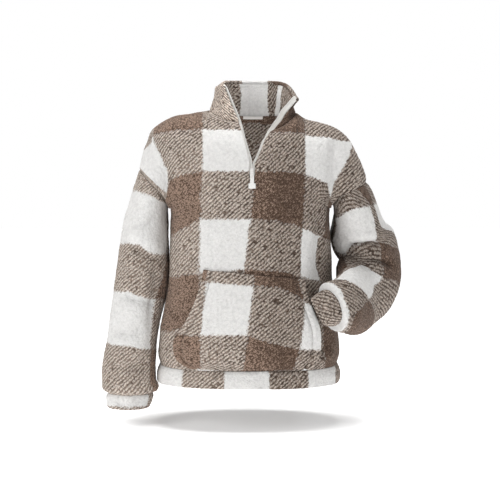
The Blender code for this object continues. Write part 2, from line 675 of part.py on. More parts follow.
def pocketPieces():
    """The pocket and the band at each opening, one surface cut in three: it stands off the front most
    along the openings and lies close to it along its top and bottom."""
    down = np.array([0, 0.06, 0.18, 0.34, 0.50, 0.66, 0.80, 0.92, 1])
    left, right = pocketSides[-1], pocketSides[1]
    zLeft = left[0, 0] + (pocketBottom - left[0, 0]) * down
    zRight = right[0, 0] + (pocketBottom - right[0, 0]) * down
    xLeft = smoothCurve(-left[:, 0], left[:, 1], -zLeft)
    xRight = smoothCurve(-right[:, 0], right[:, 1], -zRight)
    width = (xRight - xLeft)[None, :]
    gap = 1.5 * seamHalf

    def stoodOff(x):
        """How far forward the pocket lies, and how steeply that changes across."""
        share = np.clip((x - xLeft[None]) / width, 0, 1)
        z = zLeft[None] + (zRight - zLeft)[None] * share
        ahead, behind = frontDepth(x + 0.001, z), frontDepth(x - 0.001, z)
        lift = pocketLift * np.sqrt(1 + ((ahead - behind) / 0.002) ** 2)
        puff = 0.016 + 0.006 * (1 - share) ** 4 + 0.014 * share ** 4
        return frontDepth(x, z) + lift + np.sin(math.pi * down)[None] ** 0.7 * puff, z

    def surface(x):
        depth, z = stoodOff(x)
        slope = (stoodOff(x + 0.001)[0] - stoodOff(x - 0.001)[0]) / 0.002
        normal = np.stack([-slope, -np.ones_like(x), np.zeros_like(x)], axis=-1)
        return np.stack([x, -depth, z], axis=-1), unit(normal)

    def cut(name, starts, ends, steps):
        part = np.linspace(0, 1, steps + 1)[:, None]
        x = starts[None] + (ends - starts)[None] * part
        points, normals = surface(x)
        return gridMesh(name, points, normals)

    return (cut("pocket", xLeft + pocketBand + gap, xRight - pocketBand - gap, 9),
            cut("pocket_edge_right", xLeft, xLeft + pocketBand - gap, 1),
            cut("pocket_edge_left", xRight - pocketBand + gap, xRight, 1))


def blankLabel():
    """A woven label on the inside of the back, just under the neck seam."""
    rightPoints, rightNormals = panelHalf(-1, 1)
    leftPoints, leftNormals = panelHalf(1, 1)
    points = np.stack([rightPoints[1], rightPoints[0], leftPoints[1]])
    normals = np.stack([rightNormals[1], rightNormals[0], leftNormals[1]])
    columns = []
    for end, x in ((0, -0.022), (0, 0.0), (2, 0.027)):
        share = x / points[end, -1, 0] if x else 0
        place = points[1] + (points[end] - points[1]) * share
        facing = normals[1] + (normals[end] - normals[1]) * share
        rows = [place[-1] + (place[-2] - place[-1]) * share for share in (0.25, 0.60, 0.95)]
        inward = [facing[-1] + (facing[-2] - facing[-1]) * share for share in (0.25, 0.60, 0.95)]
        level = -(clothWall / 2 + layerGap + 0.0006)
        columns.append([row + way * level for row, way in zip(rows, inward)])
    grid = np.array(columns)
    facing = unit(np.cross(grid[1, 1] - grid[0, 1], grid[0, 1] - grid[0, 0]))
    return gridMesh("label", grid, np.broadcast_to(facing, grid.shape), thickness=0.0008)


def cellSolid(name, xs, ys, zs, filled):
    """One closed solid from boxes that share faces: filled holds the (x, y, z) numbers of the cells."""
    steps = ((0, 1), (1, 1), (2, 1), (0, -1), (1, -1), (2, -1))
    corners, faces = {}, []
    for cell in sorted(filled):
        for axis, way in steps:
            beside = list(cell)
            beside[axis] += way
            if tuple(beside) in filled:
                continue
            first, second = [a for a in range(3) if a != axis]
            loop = []
            for a, b in ((0, 0), (1, 0), (1, 1), (0, 1)):
                corner = list(cell)
                corner[axis] += way > 0
                corner[first] += a
                corner[second] += b
                loop.append(corners.setdefault(tuple(corner), len(corners)))
            outward = (way > 0) == (axis != 1)
            faces.append(tuple(loop) if outward else tuple(reversed(loop)))
    points = np.array([(xs[x], ys[y], zs[z]) for x, y, z in corners], float)
    return name, points, faces


def zipHardware():
    """Slider on the tapes, with a bridge that the pull hangs from, and the pull."""
    ends = bodyPoint(-1, -1, 0.0, 1 + np.array([slitRise, 0.46]), setback=0)
    lean = (ends[1, 1] - ends[0, 1]) / (ends[1, 2] - ends[0, 2])
    face = -float(ends[0, 1] + lean * (hingeHeight - ends[0, 2]))
    tapeFront = face - clothWall / 2 - tapeGap
    tapeBack = tapeFront - tapeWall
    hinge = face + 0.0040
    play = 0.0005
    xs = (-0.0052, -0.0008, 0.0008, 0.0052)
    depths = (hinge + 0.0035, hinge + 0.0019, tapeFront + play + 0.0015, tapeFront + play,
              tapeBack - play, tapeBack - play - 0.0015)
    zs = (sliderBottom, sliderBottom + 0.0020, sliderTop - 0.0130, sliderTop - 0.0035, sliderTop - 0.0015, sliderTop)
    bar, legs, frontPlate, wedge, backPlate = range(5)
    filled = {(x, layer, z) for x in range(3) for layer in (backPlate, frontPlate) for z in range(5)}
    filled |= {(1, wedge, z) for z in (2, 3, 4)}
    filled |= {(1, legs, 0), (1, legs, 3), (1, bar, 0), (1, bar, 1), (1, bar, 2), (1, bar, 3)}
    slider = cellSolid("zip_slider", xs, [-depth for depth in depths], zs, filled)
    taper = 0.80 + 0.20 * ease((slider[1][:, 2] - sliderBottom) / (sliderTop - sliderBottom))
    slider[1][:, 0] *= np.where(np.abs(slider[1][:, 0]) > 0.002, taper, 1)
    onTape = slider[1][:, 1] > -(hinge + 0.0015)
    slider[1][:, 1] += np.where(onTape, lean * (slider[1][:, 2] - hingeHeight), 0)
    half = 0.0012
    holeBottom = hingeHeight - 0.0059
    xs = (-0.0085, -0.0046, -0.0016, 0.0016, 0.0046, 0.0085)
    zs = (pullBottom, pullBottom + 0.0125, pullBottom + 0.0150, holeBottom, hingeHeight - half, hingeHeight + half)
    filled = {(x, 0, z) for x in (1, 2, 3) for z in range(5)} - {(2, 0, 3)}
    filled |= {(x, 0, 0) for x in range(5)}
    pull = cellSolid("zip_pull", xs, (-hinge - half, -hinge + half), zs, filled)
    return slider, pull, (0, -hinge, hingeHeight)


materials = {
    "fleece": {"color": (0.78, 0.77, 0.74), "roughness": 0.95, "metallic": 0.0},
    "tape": {"color": (0.80, 0.78, 0.75), "roughness": 0.8, "metallic": 0.0},
    "metal": {"color": (0.45, 0.42, 0.39), "roughness": 0.35, "metallic": 1.0},
    "label": {"color": (0.75, 0.74, 0.72), "roughness": 0.7, "metallic": 0.0},
}


def addPiece(piece, material, smooth, origin=(0, 0, 0)):
    """One mesh object with its own material, its faces turned outward."""
    name, points, faces = piece
    mesh = bpy.data.meshes.new(name)
    mesh.from_pydata([tuple(float(v) for v in point - np.array(origin)) for point in points], [], faces)
    mesh.update()
    work = bmesh.new()
    work.from_mesh(mesh)
    bmesh.ops.triangulate(work, faces=work.faces[:], quad_method="FIXED")
    work.to_mesh(mesh)
    work.free()
    for face in mesh.polygons:
        face.use_smooth = smooth
    obj = bpy.data.objects.new(name, mesh)
    obj.location = origin
    bpy.context.scene.collection.objects.link(obj)
    look = bpy.data.materials.new(name)
    look.use_nodes = True
    shader = look.node_tree.nodes["Principled BSDF"]
    values = materials[material]
    shader.inputs["Base Color"].default_value = (*values["color"], 1)
    shader.inputs["Roughness"].default_value = values["roughness"]
    shader.inputs["Metallic"].default_value = values["metallic"]
    mesh.materials.append(look)
    return obj


def allPieces():
    """Every piece with its material, whether it is shaded smooth, and its origin."""
    zero = (0, 0, 0)
    slider, pull, hinge = zipHardware()
    cloth = [bodyPanel("front", -1), bodyPanel("back", 1), hangingTube("sleeve_right", rightSleeveRings, armhole=-1),
             hangingTube("cuff_right", rightCuffRings), *bentTubes(), hemBand(), *collarLayers(), *pocketPieces()]
    tapes = [zipTape("zip_tape_right", -1), zipTape("zip_tape_left", 1)]
    pieces = [(piece, "fleece", True, zero) for piece in cloth]
    pieces += [(piece, "tape", True, zero) for piece in tapes]
    pieces += [(blankLabel(), "label", False, zero), (slider, "metal", False, zero), (pull, "metal", False, hinge)]
    return pieces


for old in list(bpy.data.objects):
    bpy.data.objects.remove(old, do_unlink=True)
for piece, material, smooth, origin in allPieces():
    addPiece(piece, material, smooth, origin)
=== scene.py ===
# A half-zip pile fleece in a two-colour check, worn shape, dressed over its CAD solids.
import functools
import math

import bmesh
import bpy
import numpy as np
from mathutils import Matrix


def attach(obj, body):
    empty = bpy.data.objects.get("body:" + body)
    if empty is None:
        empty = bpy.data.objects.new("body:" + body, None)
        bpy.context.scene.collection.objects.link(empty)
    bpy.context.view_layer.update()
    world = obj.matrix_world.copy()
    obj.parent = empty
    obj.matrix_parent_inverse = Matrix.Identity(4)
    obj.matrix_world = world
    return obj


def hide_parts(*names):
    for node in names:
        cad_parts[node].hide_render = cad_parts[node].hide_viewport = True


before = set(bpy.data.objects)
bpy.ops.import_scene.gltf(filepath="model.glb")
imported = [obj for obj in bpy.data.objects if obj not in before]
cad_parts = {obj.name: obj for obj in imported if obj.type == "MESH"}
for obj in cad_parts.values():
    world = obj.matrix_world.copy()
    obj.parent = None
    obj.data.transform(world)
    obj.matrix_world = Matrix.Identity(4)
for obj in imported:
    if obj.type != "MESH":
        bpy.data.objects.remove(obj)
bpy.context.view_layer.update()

# Metres throughout. x is the wearer's left, -y the front, z up.
# Side -1 is the wearer's right, face -1 the front.
# A cloth coordinate counts squares: a whole number is the line between two squares.
cloth = {
    "hollow": 1.45,  # how far the pile's colour is darkened where painted shade lies, as in a crease
    "wall": 0.004,
    "check": 0.1225,  # side of one square
    "seamDip": 0.0024,  # how deep the pile sinks at a seam
    "seamReach": 0.0046,
    "edgeRound": 0.0045,  # over which a cut edge rounds off
    "lumpSize": 0.0072,
    "lumpHeight": 0.0011,
    "smallShare": 0.55,  # the small tufts' size against the large ones'
    "smallHeight": 0.0005,
    "tuftLevel": 0.45,  # of a tuft's height, where it leaves the cloth's mean surface
    "tuftMasks": (0.65, 0.35),
    "tuftReach": 0.75,
    "slow": ((0.036, 0.0011, 21), (0.017, 0.0006, 31)),  # hills under the tufts: size, height, seed
}

# The garment's form, as the CAD solids have it.
armLevel = -0.197
hemSeam = -0.6005
hemBottom = -0.642
bodySquare = 2.7
armholeDepth = 0.083
armpitDrop = 0.020
neckShare = 0.30
neckFrontDepth = 0.083
neckBackDepth = 0.066
neckFrontHeight = -0.016
neckBackHeight = 0.008
neckEndRise = {-1: 0.009, 1: -0.010}
neckUp = (0.58, 0.5)  # how far the cloth faces up at the neckline: everywhere, and more at the shoulders
tapeShow = 0.0057
tapeWidth = 0.014
tapeGap = 0.0015
facingGap = 0.0014
slitRise = 0.375
slitRound = 0.012
seamHalf = 0.0002
seamInset = 0.0004

# Rings down the body: height, half width on the wearer's right and left, depth to front and back
bodyRings = np.array([
    (-0.642, 0.2320, 0.2135, 0.1400, 0.1270),
    (-0.620, 0.2310, 0.2140, 0.1400, 0.1270),
    (-0.6005, 0.2250, 0.2080, 0.1380, 0.1250),
    (-0.575, 0.2280, 0.2130, 0.1390, 0.1250),
    (-0.540, 0.2255, 0.2110, 0.1380, 0.1240),
    (-0.470, 0.2140, 0.2020, 0.1340, 0.1190),
    (-0.400, 0.2005, 0.1940, 0.1310, 0.1140),
    (-0.340, 0.1980, 0.1925, 0.1300, 0.1110),
    (-0.275, 0.1980, 0.1880, 0.1300, 0.1090),
    (-0.215, 0.1985, 0.1880, 0.1285, 0.1080),
    (-0.197, 0.2035, 0.1925, 0.1280, 0.1080),
])

# Shoulder line from the neck out to the end of the dropped shoulder: distance from the middle, height
shoulderLines = {
    -1: np.array([
        (0.1030, 0.0165), (0.1274, 0.0123), (0.1519, 0.0074), (0.1764, 0.0042), (0.2009, -0.0032),
        (0.2230, -0.0147), (0.2438, -0.0331), (0.2536, -0.0613), (0.2622, -0.0810), (0.2732, -0.1250),
    ]),
    1: np.array([
        (0.1060, 0.0110), (0.1299, -0.0049), (0.1421, -0.0085), (0.1666, -0.0137), (0.1838, -0.0185),
        (0.2034, -0.0262), (0.2254, -0.0429), (0.2377, -0.0576), (0.2499, -0.0809), (0.2622, -0.1054),
        (0.2744, -0.1360), (0.2781, -0.1556),
    ]),
}

# The open zip: its tape's free edge, as distance from the middle, going up
openEdges = {
    -1: np.array([
        (-0.1385, 0.0011), (-0.1180, 0.0011), (-0.1065, 0.0004), (-0.0943, 0.0014), (-0.0755, 0.0071),
        (-0.0520, 0.0142), (-0.0283, 0.0200), (-0.0071, 0.0262),
    ]),
    1: np.array([
        (-0.1385, 0.0011), (-0.1180, 0.0011), (-0.1065, 0.0004), (-0.0990, 0.0050), (-0.0755, 0.0153),
        (-0.0520, 0.0236), (-0.0330, 0.0366), (-0.0260, 0.0472),
    ]),
}

# Collar rim, from the open front end (0) past the shoulder (1) to the middle of the back (2):
# place, distance from the middle, y, height
collarRims = {
    -1: np.array([(0.0, 0.0620, -0.062, 0.0760), (0.3, 0.0770, -0.044, 0.0850), (0.6, 0.0845, -0.020, 0.0880),
                  (1.0, 0.0870, 0.010, 0.0885), (1.5, 0.0620, 0.048, 0.0885), (2.0, 0.0, 0.0610, 0.0885)]),
    1: np.array([(0.0, 0.1060, -0.050, 0.0420), (0.3, 0.1015, -0.032, 0.0560), (0.6, 0.0950, -0.013, 0.0700),
                 (1.0, 0.0835, 0.014, 0.0810), (1.5, 0.0580, 0.048, 0.0870), (2.0, 0.0, 0.0610, 0.0885)]),
}

# Right sleeve, hanging: outer edge x and z, inner edge x and z, y of the middle, half depth
rightSleeveRings = np.array([
    (-0.2732, -0.1250, -0.2035, -0.1970, 0.000, 0.083),
    (-0.2879, -0.1740, -0.2075, -0.2180, 0.000, 0.080),
    (-0.3112, -0.2475, -0.2065, -0.2720, -0.002, 0.076),
    (-0.3210, -0.3087, -0.2055, -0.3280, -0.005, 0.073),
    (-0.3308, -0.3724, -0.2045, -0.3773, -0.009, 0.071),
    (-0.3393, -0.4337, -0.2125, -0.4386, -0.014, 0.069),
    (-0.3479, -0.4949, -0.2270, -0.4974, -0.020, 0.067),
    (-0.3553, -0.5562, -0.2355, -0.5586, -0.026, 0.065),
    (-0.3626, -0.5978, -0.2370, -0.6027, -0.030, 0.065),
    (-0.3643, -0.6250, -0.2355, -0.6280, -0.032, 0.064),
    (-0.3589, -0.6490, -0.2340, -0.6510, -0.034, 0.059),
    (-0.3504, -0.6615, -0.2430, -0.6615, -0.036, 0.048),
])

rightCuffRings = np.array([
    (-0.3504, -0.6615, -0.2430, -0.6615, -0.036, 0.048),
    (-0.3528, -0.6720, -0.2438, -0.6730, -0.037, 0.046),
    (-0.3504, -0.6945, -0.2524, -0.6945, -0.039, 0.044),
])

# Left sleeve, bent: middle x, y, z; direction down the sleeve x, y, z; the ring's long way x, y, z;
# half length that way and half width across it. The first ring is the armhole.
leftSleeveRings = np.array([
    (0.2353, 0.000, -0.1763, 0.435, 0.00, -0.900, 0.90, 0.00, 0.44, 0.0475, 0.083),
    (0.2460, 0.002, -0.2046, 0.480, 0.02, -0.870, 0.90, 0.00, 0.44, 0.0530, 0.081),
    (0.2530, 0.012, -0.2401, 0.343, 0.10, -0.935, 0.95, 0.10, 0.30, 0.0590, 0.080),
    (0.2600, 0.024, -0.2780, 0.300, 0.18, -0.935, 0.80, 0.50, 0.30, 0.0670, 0.074),
])

elbowPivot = (0.236, -0.014, -0.336)
elbowStart = (0.556, 0.735, 0.376)
elbowOnward = (0.350, 0.200, -0.910)

# Round the elbow: turn in degrees from the start, reach of the middle from the pivot, half length along
# the reach and half width across it
leftElbow = np.array([
    (2, 0.084, 0.077, 0.068),
    (25, 0.091, 0.084, 0.064),
    (50, 0.097, 0.090, 0.060),
    (75, 0.098, 0.091, 0.056),
    (98, 0.096, 0.089, 0.052),
])

leftForearmRings = np.array([
    (0.2500, -0.052, -0.4380, -0.42, -0.88, -0.20, 0.15, 0.10, -0.98, 0.0860, 0.046),
    (0.2320, -0.100, -0.4430, -0.50, -0.84, -0.18, 0.05, 0.10, -0.98, 0.0770, 0.044),
    (0.2110, -0.132, -0.4450, -0.66, -0.70, -0.22, 0.00, 0.00, -1.00, 0.0650, 0.043),
    (0.1950, -0.142, -0.4460, -0.74, -0.62, -0.26, 0.00, 0.00, -1.00, 0.0580, 0.041),
    (0.1850, -0.147, -0.4460, -0.74, -0.62, -0.26, 0.00, 0.00, -1.00, 0.0430, 0.037),
])

leftCuffRings = np.array([
    (0.1710, -0.154, -0.4507, -0.82, -0.30, -0.36, 0.00, 0.00, -1.00, 0.0390, 0.034),
    (0.1570, -0.153, -0.4570, -0.88, 0.05, -0.47, 0.00, 0.00, -1.00, 0.0335, 0.030),
])

# Pocket: edges as height and x, going down
pocketSides = {
    -1: np.array([(-0.3583, -0.1155), (-0.3936, -0.1225), (-0.4407, -0.1390), (-0.4880, -0.1626),
                  (-0.5186, -0.1840), (-0.5586, -0.1870), (-0.5800, -0.1770), (-0.5960, -0.1500)]),
    1: np.array([(-0.3818, 0.1270), (-0.4054, 0.1296), (-0.4290, 0.1367), (-0.4643, 0.1508),
                 (-0.4997, 0.1620), (-0.5350, 0.1640), (-0.5700, 0.1590), (-0.5960, 0.1414)]),
}


# A cubic through the rows of a table, with each slope taken from the rows on either side.
def smoothCurve(knots, values, at):
    knots = np.asarray(knots, float)
    values = np.asarray(values, float)
    at = np.clip(np.asarray(at, float), knots[0], knots[-1])
    steps = np.diff(knots)
    rates = np.diff(values, axis=0) / (steps if values.ndim == 1 else steps[:, None])
    slopes = np.empty_like(values)
    slopes[0] = rates[0]
    slopes[-1] = rates[-1]
    before, after = steps[:-1], steps[1:]
    if values.ndim > 1:
        before, after = before[:, None], after[:, None]
    slopes[1:-1] = (rates[:-1] * after + rates[1:] * before) / (before + after)
    row = np.clip(np.searchsorted(knots, at, side="right") - 1, 0, len(knots) - 2)
    step = steps[row]
    t = (at - knots[row]) / step
    if values.ndim > 1:
        t, step = t[..., None], step[..., None]
    return ((1 + 2 * t) * (1 - t) ** 2 * values[row] + t * (1 - t) ** 2 * step * slopes[row]
            + t ** 2 * (3 - 2 * t) * values[row + 1] + t ** 2 * (t - 1) * step * slopes[row + 1])


# 0 to 1 with flat ends.
def ease(t):
    t = np.clip(t, 0, 1)
    return t * t * (3 - 2 * t)


def unit(vectors):
    return vectors / np.maximum(np.linalg.norm(vectors, axis=-1, keepdims=True), 1e-12)


# Distance along a line of points, from its start.
def lengthsAlong(points):
    return np.concatenate([[0], np.cumsum(np.linalg.norm(np.diff(points, axis=0), axis=1))])


# Half width and depth of the body's ring at this height.
def ringSize(side, face, height):
    width = smoothCurve(bodyRings[:, 0], bodyRings[:, 1 if side < 0 else 2], height)
    depth = smoothCurve(bodyRings[:, 0], bodyRings[:, 3 if face < 0 else 4], height)
    return width, depth


# A point of the body's ring at this height, across from the middle (0) to the side seam (1).
def ringQuarter(side, face, across, height):
    width, depth = ringSize(side, face, height)
    angle = np.clip(across, 0, 1) * math.pi / 2
    x = side * width * np.sin(angle) ** (2 / bodySquare)
    y = face * depth * np.abs(np.cos(angle)) ** (2 / bodySquare)
    return x, y


# Share of the shoulder line that a column of the body has reached.
def shoulderShare(across):
    return np.clip((across - neckShare) / (1 - neckShare), 0, 1)


def onShoulderLine(side, share):
    line = shoulderLines[side]
    lengths = lengthsAlong(line)
    return smoothCurve(lengths / lengths[-1], line, share)


# Where each column of the body ends: on the neckline up to neckShare, then on the shoulder line.
def topEdge(side, face, across):
    line = shoulderLines[side]
    onShoulder = onShoulderLine(side, shoulderShare(across))
    angle = np.clip(across / neckShare, 0, 1) * math.pi / 2
    neckDepth = neckFrontDepth if face < 0 else neckBackDepth
    neckHeight = neckFrontHeight if face < 0 else neckBackHeight
    isNeck = across < neckShare
    x = np.where(isNeck, line[0, 0] * np.sin(angle), onShoulder[..., 0])
    y = np.where(isNeck, neckDepth * np.cos(angle), 0.0)
    climb = 1 - np.maximum(np.cos(angle), 0) ** 2.6
    z = np.where(isNeck, neckHeight + (line[0, 1] - neckHeight) * climb, onShoulder[..., 1])
    return side * x, y, z


beside = {"near": 0.0875, "far": 0.9, "farOver": 0.4}  # shares of the way across


# 1 for the column next to the armhole, 0 at the armhole and toward the middle of the body.
def besideArmhole(across):
    return ease((1 - across) / beside["near"]) * (1 - ease((beside["far"] - across) / beside["farOver"]))


# The body's surface: up runs from the hem (0) to the armhole's level (1) to the shoulder or neck (2).
# Above the armhole a column is part of a superellipse, from the ring's depth over to the shoulder line,
# so the columns at the armhole close round the arm. Those beside it start lower and stay nearer the
# body, as cloth does round an armpit. The columns at the open zip lean out to its edge.
def bodyPoint(side, face, across, up):
    across, up = np.broadcast_arrays(np.asarray(across, float), np.asarray(up, float))
    close = besideArmhole(across)
    level = armLevel - armpitDrop * close
    lowZ = hemSeam + (level - hemSeam) * np.clip(up, 0, 1)
    lowX, lowY = ringQuarter(side, face, across, lowZ)
    baseX, baseY = ringQuarter(side, face, across, armLevel)
    topX, topY, topZ = topEdge(side, face, across)
    rise = np.clip(up - 1, 0, 1)
    share = (1 - np.cos(math.pi * rise)) / 2
    depth = (np.abs(baseY) ** 6 + armholeDepth ** 6) ** (1 / 6)
    square = 2 + 0.6 * (1 - ease((across - 0.5) / 0.5))
    start = -np.maximum(1 - (np.abs(baseY) / depth) ** square, 0) ** (1 / square)
    end = np.maximum(1 - (topY / depth) ** square, 0) ** (1 / square)
    place = start + (end - start) * share
    highY = face * depth * np.maximum(1 - np.abs(place) ** square, 0) ** (1 / square)
    highX = baseX + (topX - baseX) * share ** (1 + 0.6 * close)
    highZ = level + (topZ - level) * share
    if face < 0:
        near = np.clip(1 - across / neckShare, 0, 1) ** 1.5
        highZ = highZ + neckEndRise[side] * share ** 3 * near
        edge = openEdges[side]
        opened = np.interp(highZ, edge[:, 0], edge[:, 1])
        isOpen = rise > slitRise + 1e-6
        shown = tapeShow * ease((rise - slitRise) / slitRound)
        highX = highX + side * np.where(isOpen, opened + shown, 0) * near
    upper = up > 1
    return np.stack([np.where(upper, highX, lowX), np.where(upper, highY, lowY),
                     np.where(upper, highZ, lowZ)], axis=-1)


# Outward direction, level, of the body's ring.
def ringNormal(side, face, across, height):
    width, depth = ringSize(side, face, height)
    angle = np.clip(across, 0, 1) * math.pi / 2
    power = 2 * (bodySquare - 1) / bodySquare
    x = side * np.sin(angle) ** power / width
    y = face * np.abs(np.cos(angle)) ** power / depth
    return unit(np.stack([x, y, np.zeros_like(x)], axis=-1))


# Direction straight off a surface of two places, which end at these, from points a small step either way.
def normalOf(surface, first, second, step, ends):
    first, second = np.broadcast_arrays(np.asarray(first, float), np.asarray(second, float))
    along = (surface(np.clip(first + step, 0, ends[0]), second)
             - surface(np.clip(first - step, 0, ends[0]), second))
    rise = (surface(first, np.clip(second + step, 0, ends[1]))
            - surface(first, np.clip(second - step, 0, ends[1])))
    return unit(np.cross(along, rise))


# Outward direction of the body's surface.
def bodyNormal(side, face, across, up):
    return normalOf(lambda a, u: bodyPoint(side, face, a, u), across, up, 0.004, (1, 2)) * (-side * face)


# At the shoulder seam the cloth faces straight away from the shoulder line.
def shoulderNormal(side, across):
    share = shoulderShare(across)
    step = 0.01
    ahead = onShoulderLine(side, np.clip(share + step, 0, 1))
    behind = onShoulderLine(side, np.clip(share - step, 0, 1))
    run = unit(ahead - behind)
    return np.stack([-side * run[..., 1], np.zeros_like(share), run[..., 0]], axis=-1)


# The two ends of the armhole: the end of the shoulder line and the armpit.
def armholeEnds(side):
    line = shoulderLines[side]
    outer = np.array([side * line[-1, 0], 0, line[-1, 1]])
    inner = np.array([float(ringQuarter(side, -1, 1.0, armLevel)[0]), 0, armLevel])
    return outer, inner


# Outward direction, in its own plane, of an ellipse with these conjugate half axes.
def ellipseNormal(points, middle, halfLong, halfDeep):
    axes = np.stack([halfLong, halfDeep])
    dual = np.linalg.solve(axes @ axes.T, axes)
    spoke = points - middle
    return unit((spoke @ dual.T) @ dual)


# Points round the armhole from the armpit over the front, the direction the cloth of body and
# sleeve share at each, and the direction across the seam into the body.
def armholeSeam(side, around):
    outer, inner = armholeEnds(side)
    long, deep = (outer - inner) / 2, np.array([0, -armholeDepth, 0])
    angles = around[:, None]
    points = (outer + inner) / 2 - np.cos(angles) * long + np.sin(angles) * deep
    run = np.sin(angles) * long + np.cos(angles) * deep
    sleeveWay = ellipseNormal(points, (outer + inner) / 2, long, deep)
    rises = np.abs((around / math.pi + 1) % 2 - 1)
    isFront = (around <= math.pi + 1e-9)[:, None]
    bodyWay = np.where(isFront, bodyNormal(side, -1, 0.97, 1 + rises), bodyNormal(side, 1, 0.97, 1 + rises))
    bodyWay[rises < 1e-6] = (side, 0, 0)
    atTop = rises > 1 - 1e-6
    bodyWay[atTop] = sleeveWay[atTop]
    normals = unit(bodyWay + sleeveWay)
    across = unit(np.cross(run, normals))
    towardBody = unit(np.cross(long, (0, side, 0))) - np.array([side, 0, 0])
    return points, normals, across * np.sign((across * towardBody).sum(axis=-1, keepdims=True))


# The neckline, from the open front end (0) past the shoulder (1) to the middle of the back (2).
def collarBase(side, place):
    front = bodyPoint(side, -1, np.minimum(place, 1) * neckShare, 2)
    back = bodyPoint(side, 1, (2 - np.maximum(place, 1)) * neckShare, 2)
    return np.where((place <= 1)[..., None], front, back)


# The collar's surface: it leaves the neckline at a slope and soon stands up straight.
def collarPoint(side, place, up):
    place, up = np.broadcast_arrays(np.asarray(place, float), np.asarray(up, float))
    base = collarBase(side, place)
    rim = collarRims[side]
    top = smoothCurve(rim[:, 0], rim[:, 1:], place) * np.array([side, 1, 1])
    top[..., 0] += side * tapeShow * np.clip(1 - place, 0, 1) ** 3
    out = (1 - (1 - up) ** (1 + 1.2 * ease(place / 0.6)))[..., None]
    sideways = base + (top - base) * out
    height = base[..., 2] + (top[..., 2] - base[..., 2]) * up
    return np.concatenate([sideways[..., :2], height[..., None]], axis=-1)


# Outward direction of the collar's surface.
def collarNormal(side, place, up):
    return normalOf(lambda p, u: collarPoint(side, p, u), place, up, 0.01, (2, 1)) * side


# Shared direction of body and collar where they meet: outward, and up more at the shoulders.
def neckNormal(side, place):
    place = np.asarray(place, float)
    normal = collarNormal(side, place, 0.3)
    normal[..., 2] = 0
    normal = unit(normal)
    leastUp, moreUp = neckUp
    normal[..., 2] = leastUp + moreUp * (1 - np.abs(1 - place)) ** 2
    normal[..., 0] = np.where(place > 2 - 1e-6, 0, normal[..., 0])
    return unit(normal)


# The direction across each ring, carried along the tube without twist.
def transported(directions, firstAcross):
    across = [unit(firstAcross)]
    for direction in directions[1:]:
        last = across[-1] - np.dot(across[-1], direction) * direction
        across.append(unit(last))
    return np.array(across)


# Rings that fan round the pivot at the crook of the elbow.
def elbowRings():
    start = unit(np.array(elbowStart))
    onward = np.array(elbowOnward)
    onward = unit(onward - np.dot(onward, start) * start)
    rings = []
    for turn, reach, longHalf, wideHalf in leftElbow:
        cos, sin = math.cos(math.radians(turn)), math.sin(math.radians(turn))
        reaching = cos * start + sin * onward
        middle = np.array(elbowPivot) + reach * reaching
        rings.append((*middle, *(cos * onward - sin * start), *reaching, longHalf, wideHalf))
    return np.array(rings)


# How far forward the front lies at this place below the armholes.
def frontDepth(x, z):
    right, depth = ringSize(-1, -1, z)
    width = np.where(x < 0, right, ringSize(1, -1, z)[0])
    return depth * np.maximum(1 - (np.abs(x) / width) ** bodySquare, 0) ** (1 / bodySquare)


# Even noise from whole lattice places, 0 to 1.
def scattered(x, y, z, seed):
    n = (x * 374761393 + y * 668265263 + z * 2147483629 + seed * 97531) & 0xFFFFFFFF
    n = ((n ^ (n >> 13)) * 1274126177) & 0xFFFFFFFF
    n = ((n ^ (n >> 15)) * 2246822519) & 0xFFFFFFFF
    return ((n ^ (n >> 16)) & 0xFFFF) / 65535.0


# Smooth noise from -1 to 1, its hills this far apart: the corners of each lattice cell, eased together.
def hills(points, size, seed):
    place = points / size
    cell = np.floor(place).astype(np.int64)
    part = ease(place - cell)
    total = 0
    for corner in range(8):
        step = np.array([corner & 1, corner >> 1 & 1, corner >> 2 & 1])
        weight = np.prod(np.where(step, part, 1 - part), axis=-1)
        x, y, z = np.moveaxis(cell + step, -1, 0)
        total = total + weight * scattered(x, y, z, seed)
    return total * 2 - 1


# Round tufts on a jittered lattice: 1 in the middle of a tuft, falling to 0 between tufts.
def tufts(points, size, seed):
    place = points / size
    cell = np.floor(place).astype(np.int64)
    nearest = np.full(points.shape[:-1], 9.0)
    for corner in range(27):
        step = np.array([corner % 3 - 1, corner // 3 % 3 - 1, corner // 9 - 1])
        x, y, z = np.moveaxis(cell + step, -1, 0)
        seat = np.stack([x + scattered(x, y, z, seed), y + scattered(x, y, z, seed + 1),
                         z + scattered(x, y, z, seed + 2)], axis=-1)
        nearest = np.minimum(nearest, ((place - seat) ** 2).sum(axis=-1))
    return np.clip(1 - nearest / cloth["tuftReach"], 0, 1)


creaseShape = {"steps": 12, "ends": 0.25, "steep": 1.7, "shadeWidth": 0.8, "fullShade": 0.011}


# How far one crease moves each point: a bowed line of three points, its width and its depth.
def crease(points, path, width, depth):
    steps, ends = creaseShape["steps"], creaseShape["ends"]
    a, b, c = path
    t = np.linspace(0, 1, steps + 1)[:, None]
    line = a * (1 - t) ** 2 + (2 * b - (a + c) / 2) * 2 * t * (1 - t) + c * t ** 2
    amount = np.zeros(points.shape[:-1])
    low, high = line.min(axis=0) - 3 * width, line.max(axis=0) + 3 * width
    near = np.all((points > low) & (points < high), axis=-1)
    if not near.any():
        return amount
    chosen = points[near]
    best = np.full(len(chosen), 9.0)
    along = np.zeros(len(chosen))
    for k in range(steps):
        run = line[k + 1] - line[k]
        share = np.clip((chosen - line[k]) @ run / (run @ run), 0, 1)
        far = np.linalg.norm(chosen - line[k] - share[:, None] * run, axis=-1)
        closer = far < best
        best = np.where(closer, far, best)
        along = np.where(closer, (k + share) / steps, along)
    taper = ease(along / ends) * ease((1 - along) / ends)
    amount[near] = -depth * taper * np.exp(-(best / width) ** creaseShape["steep"])
    return amount


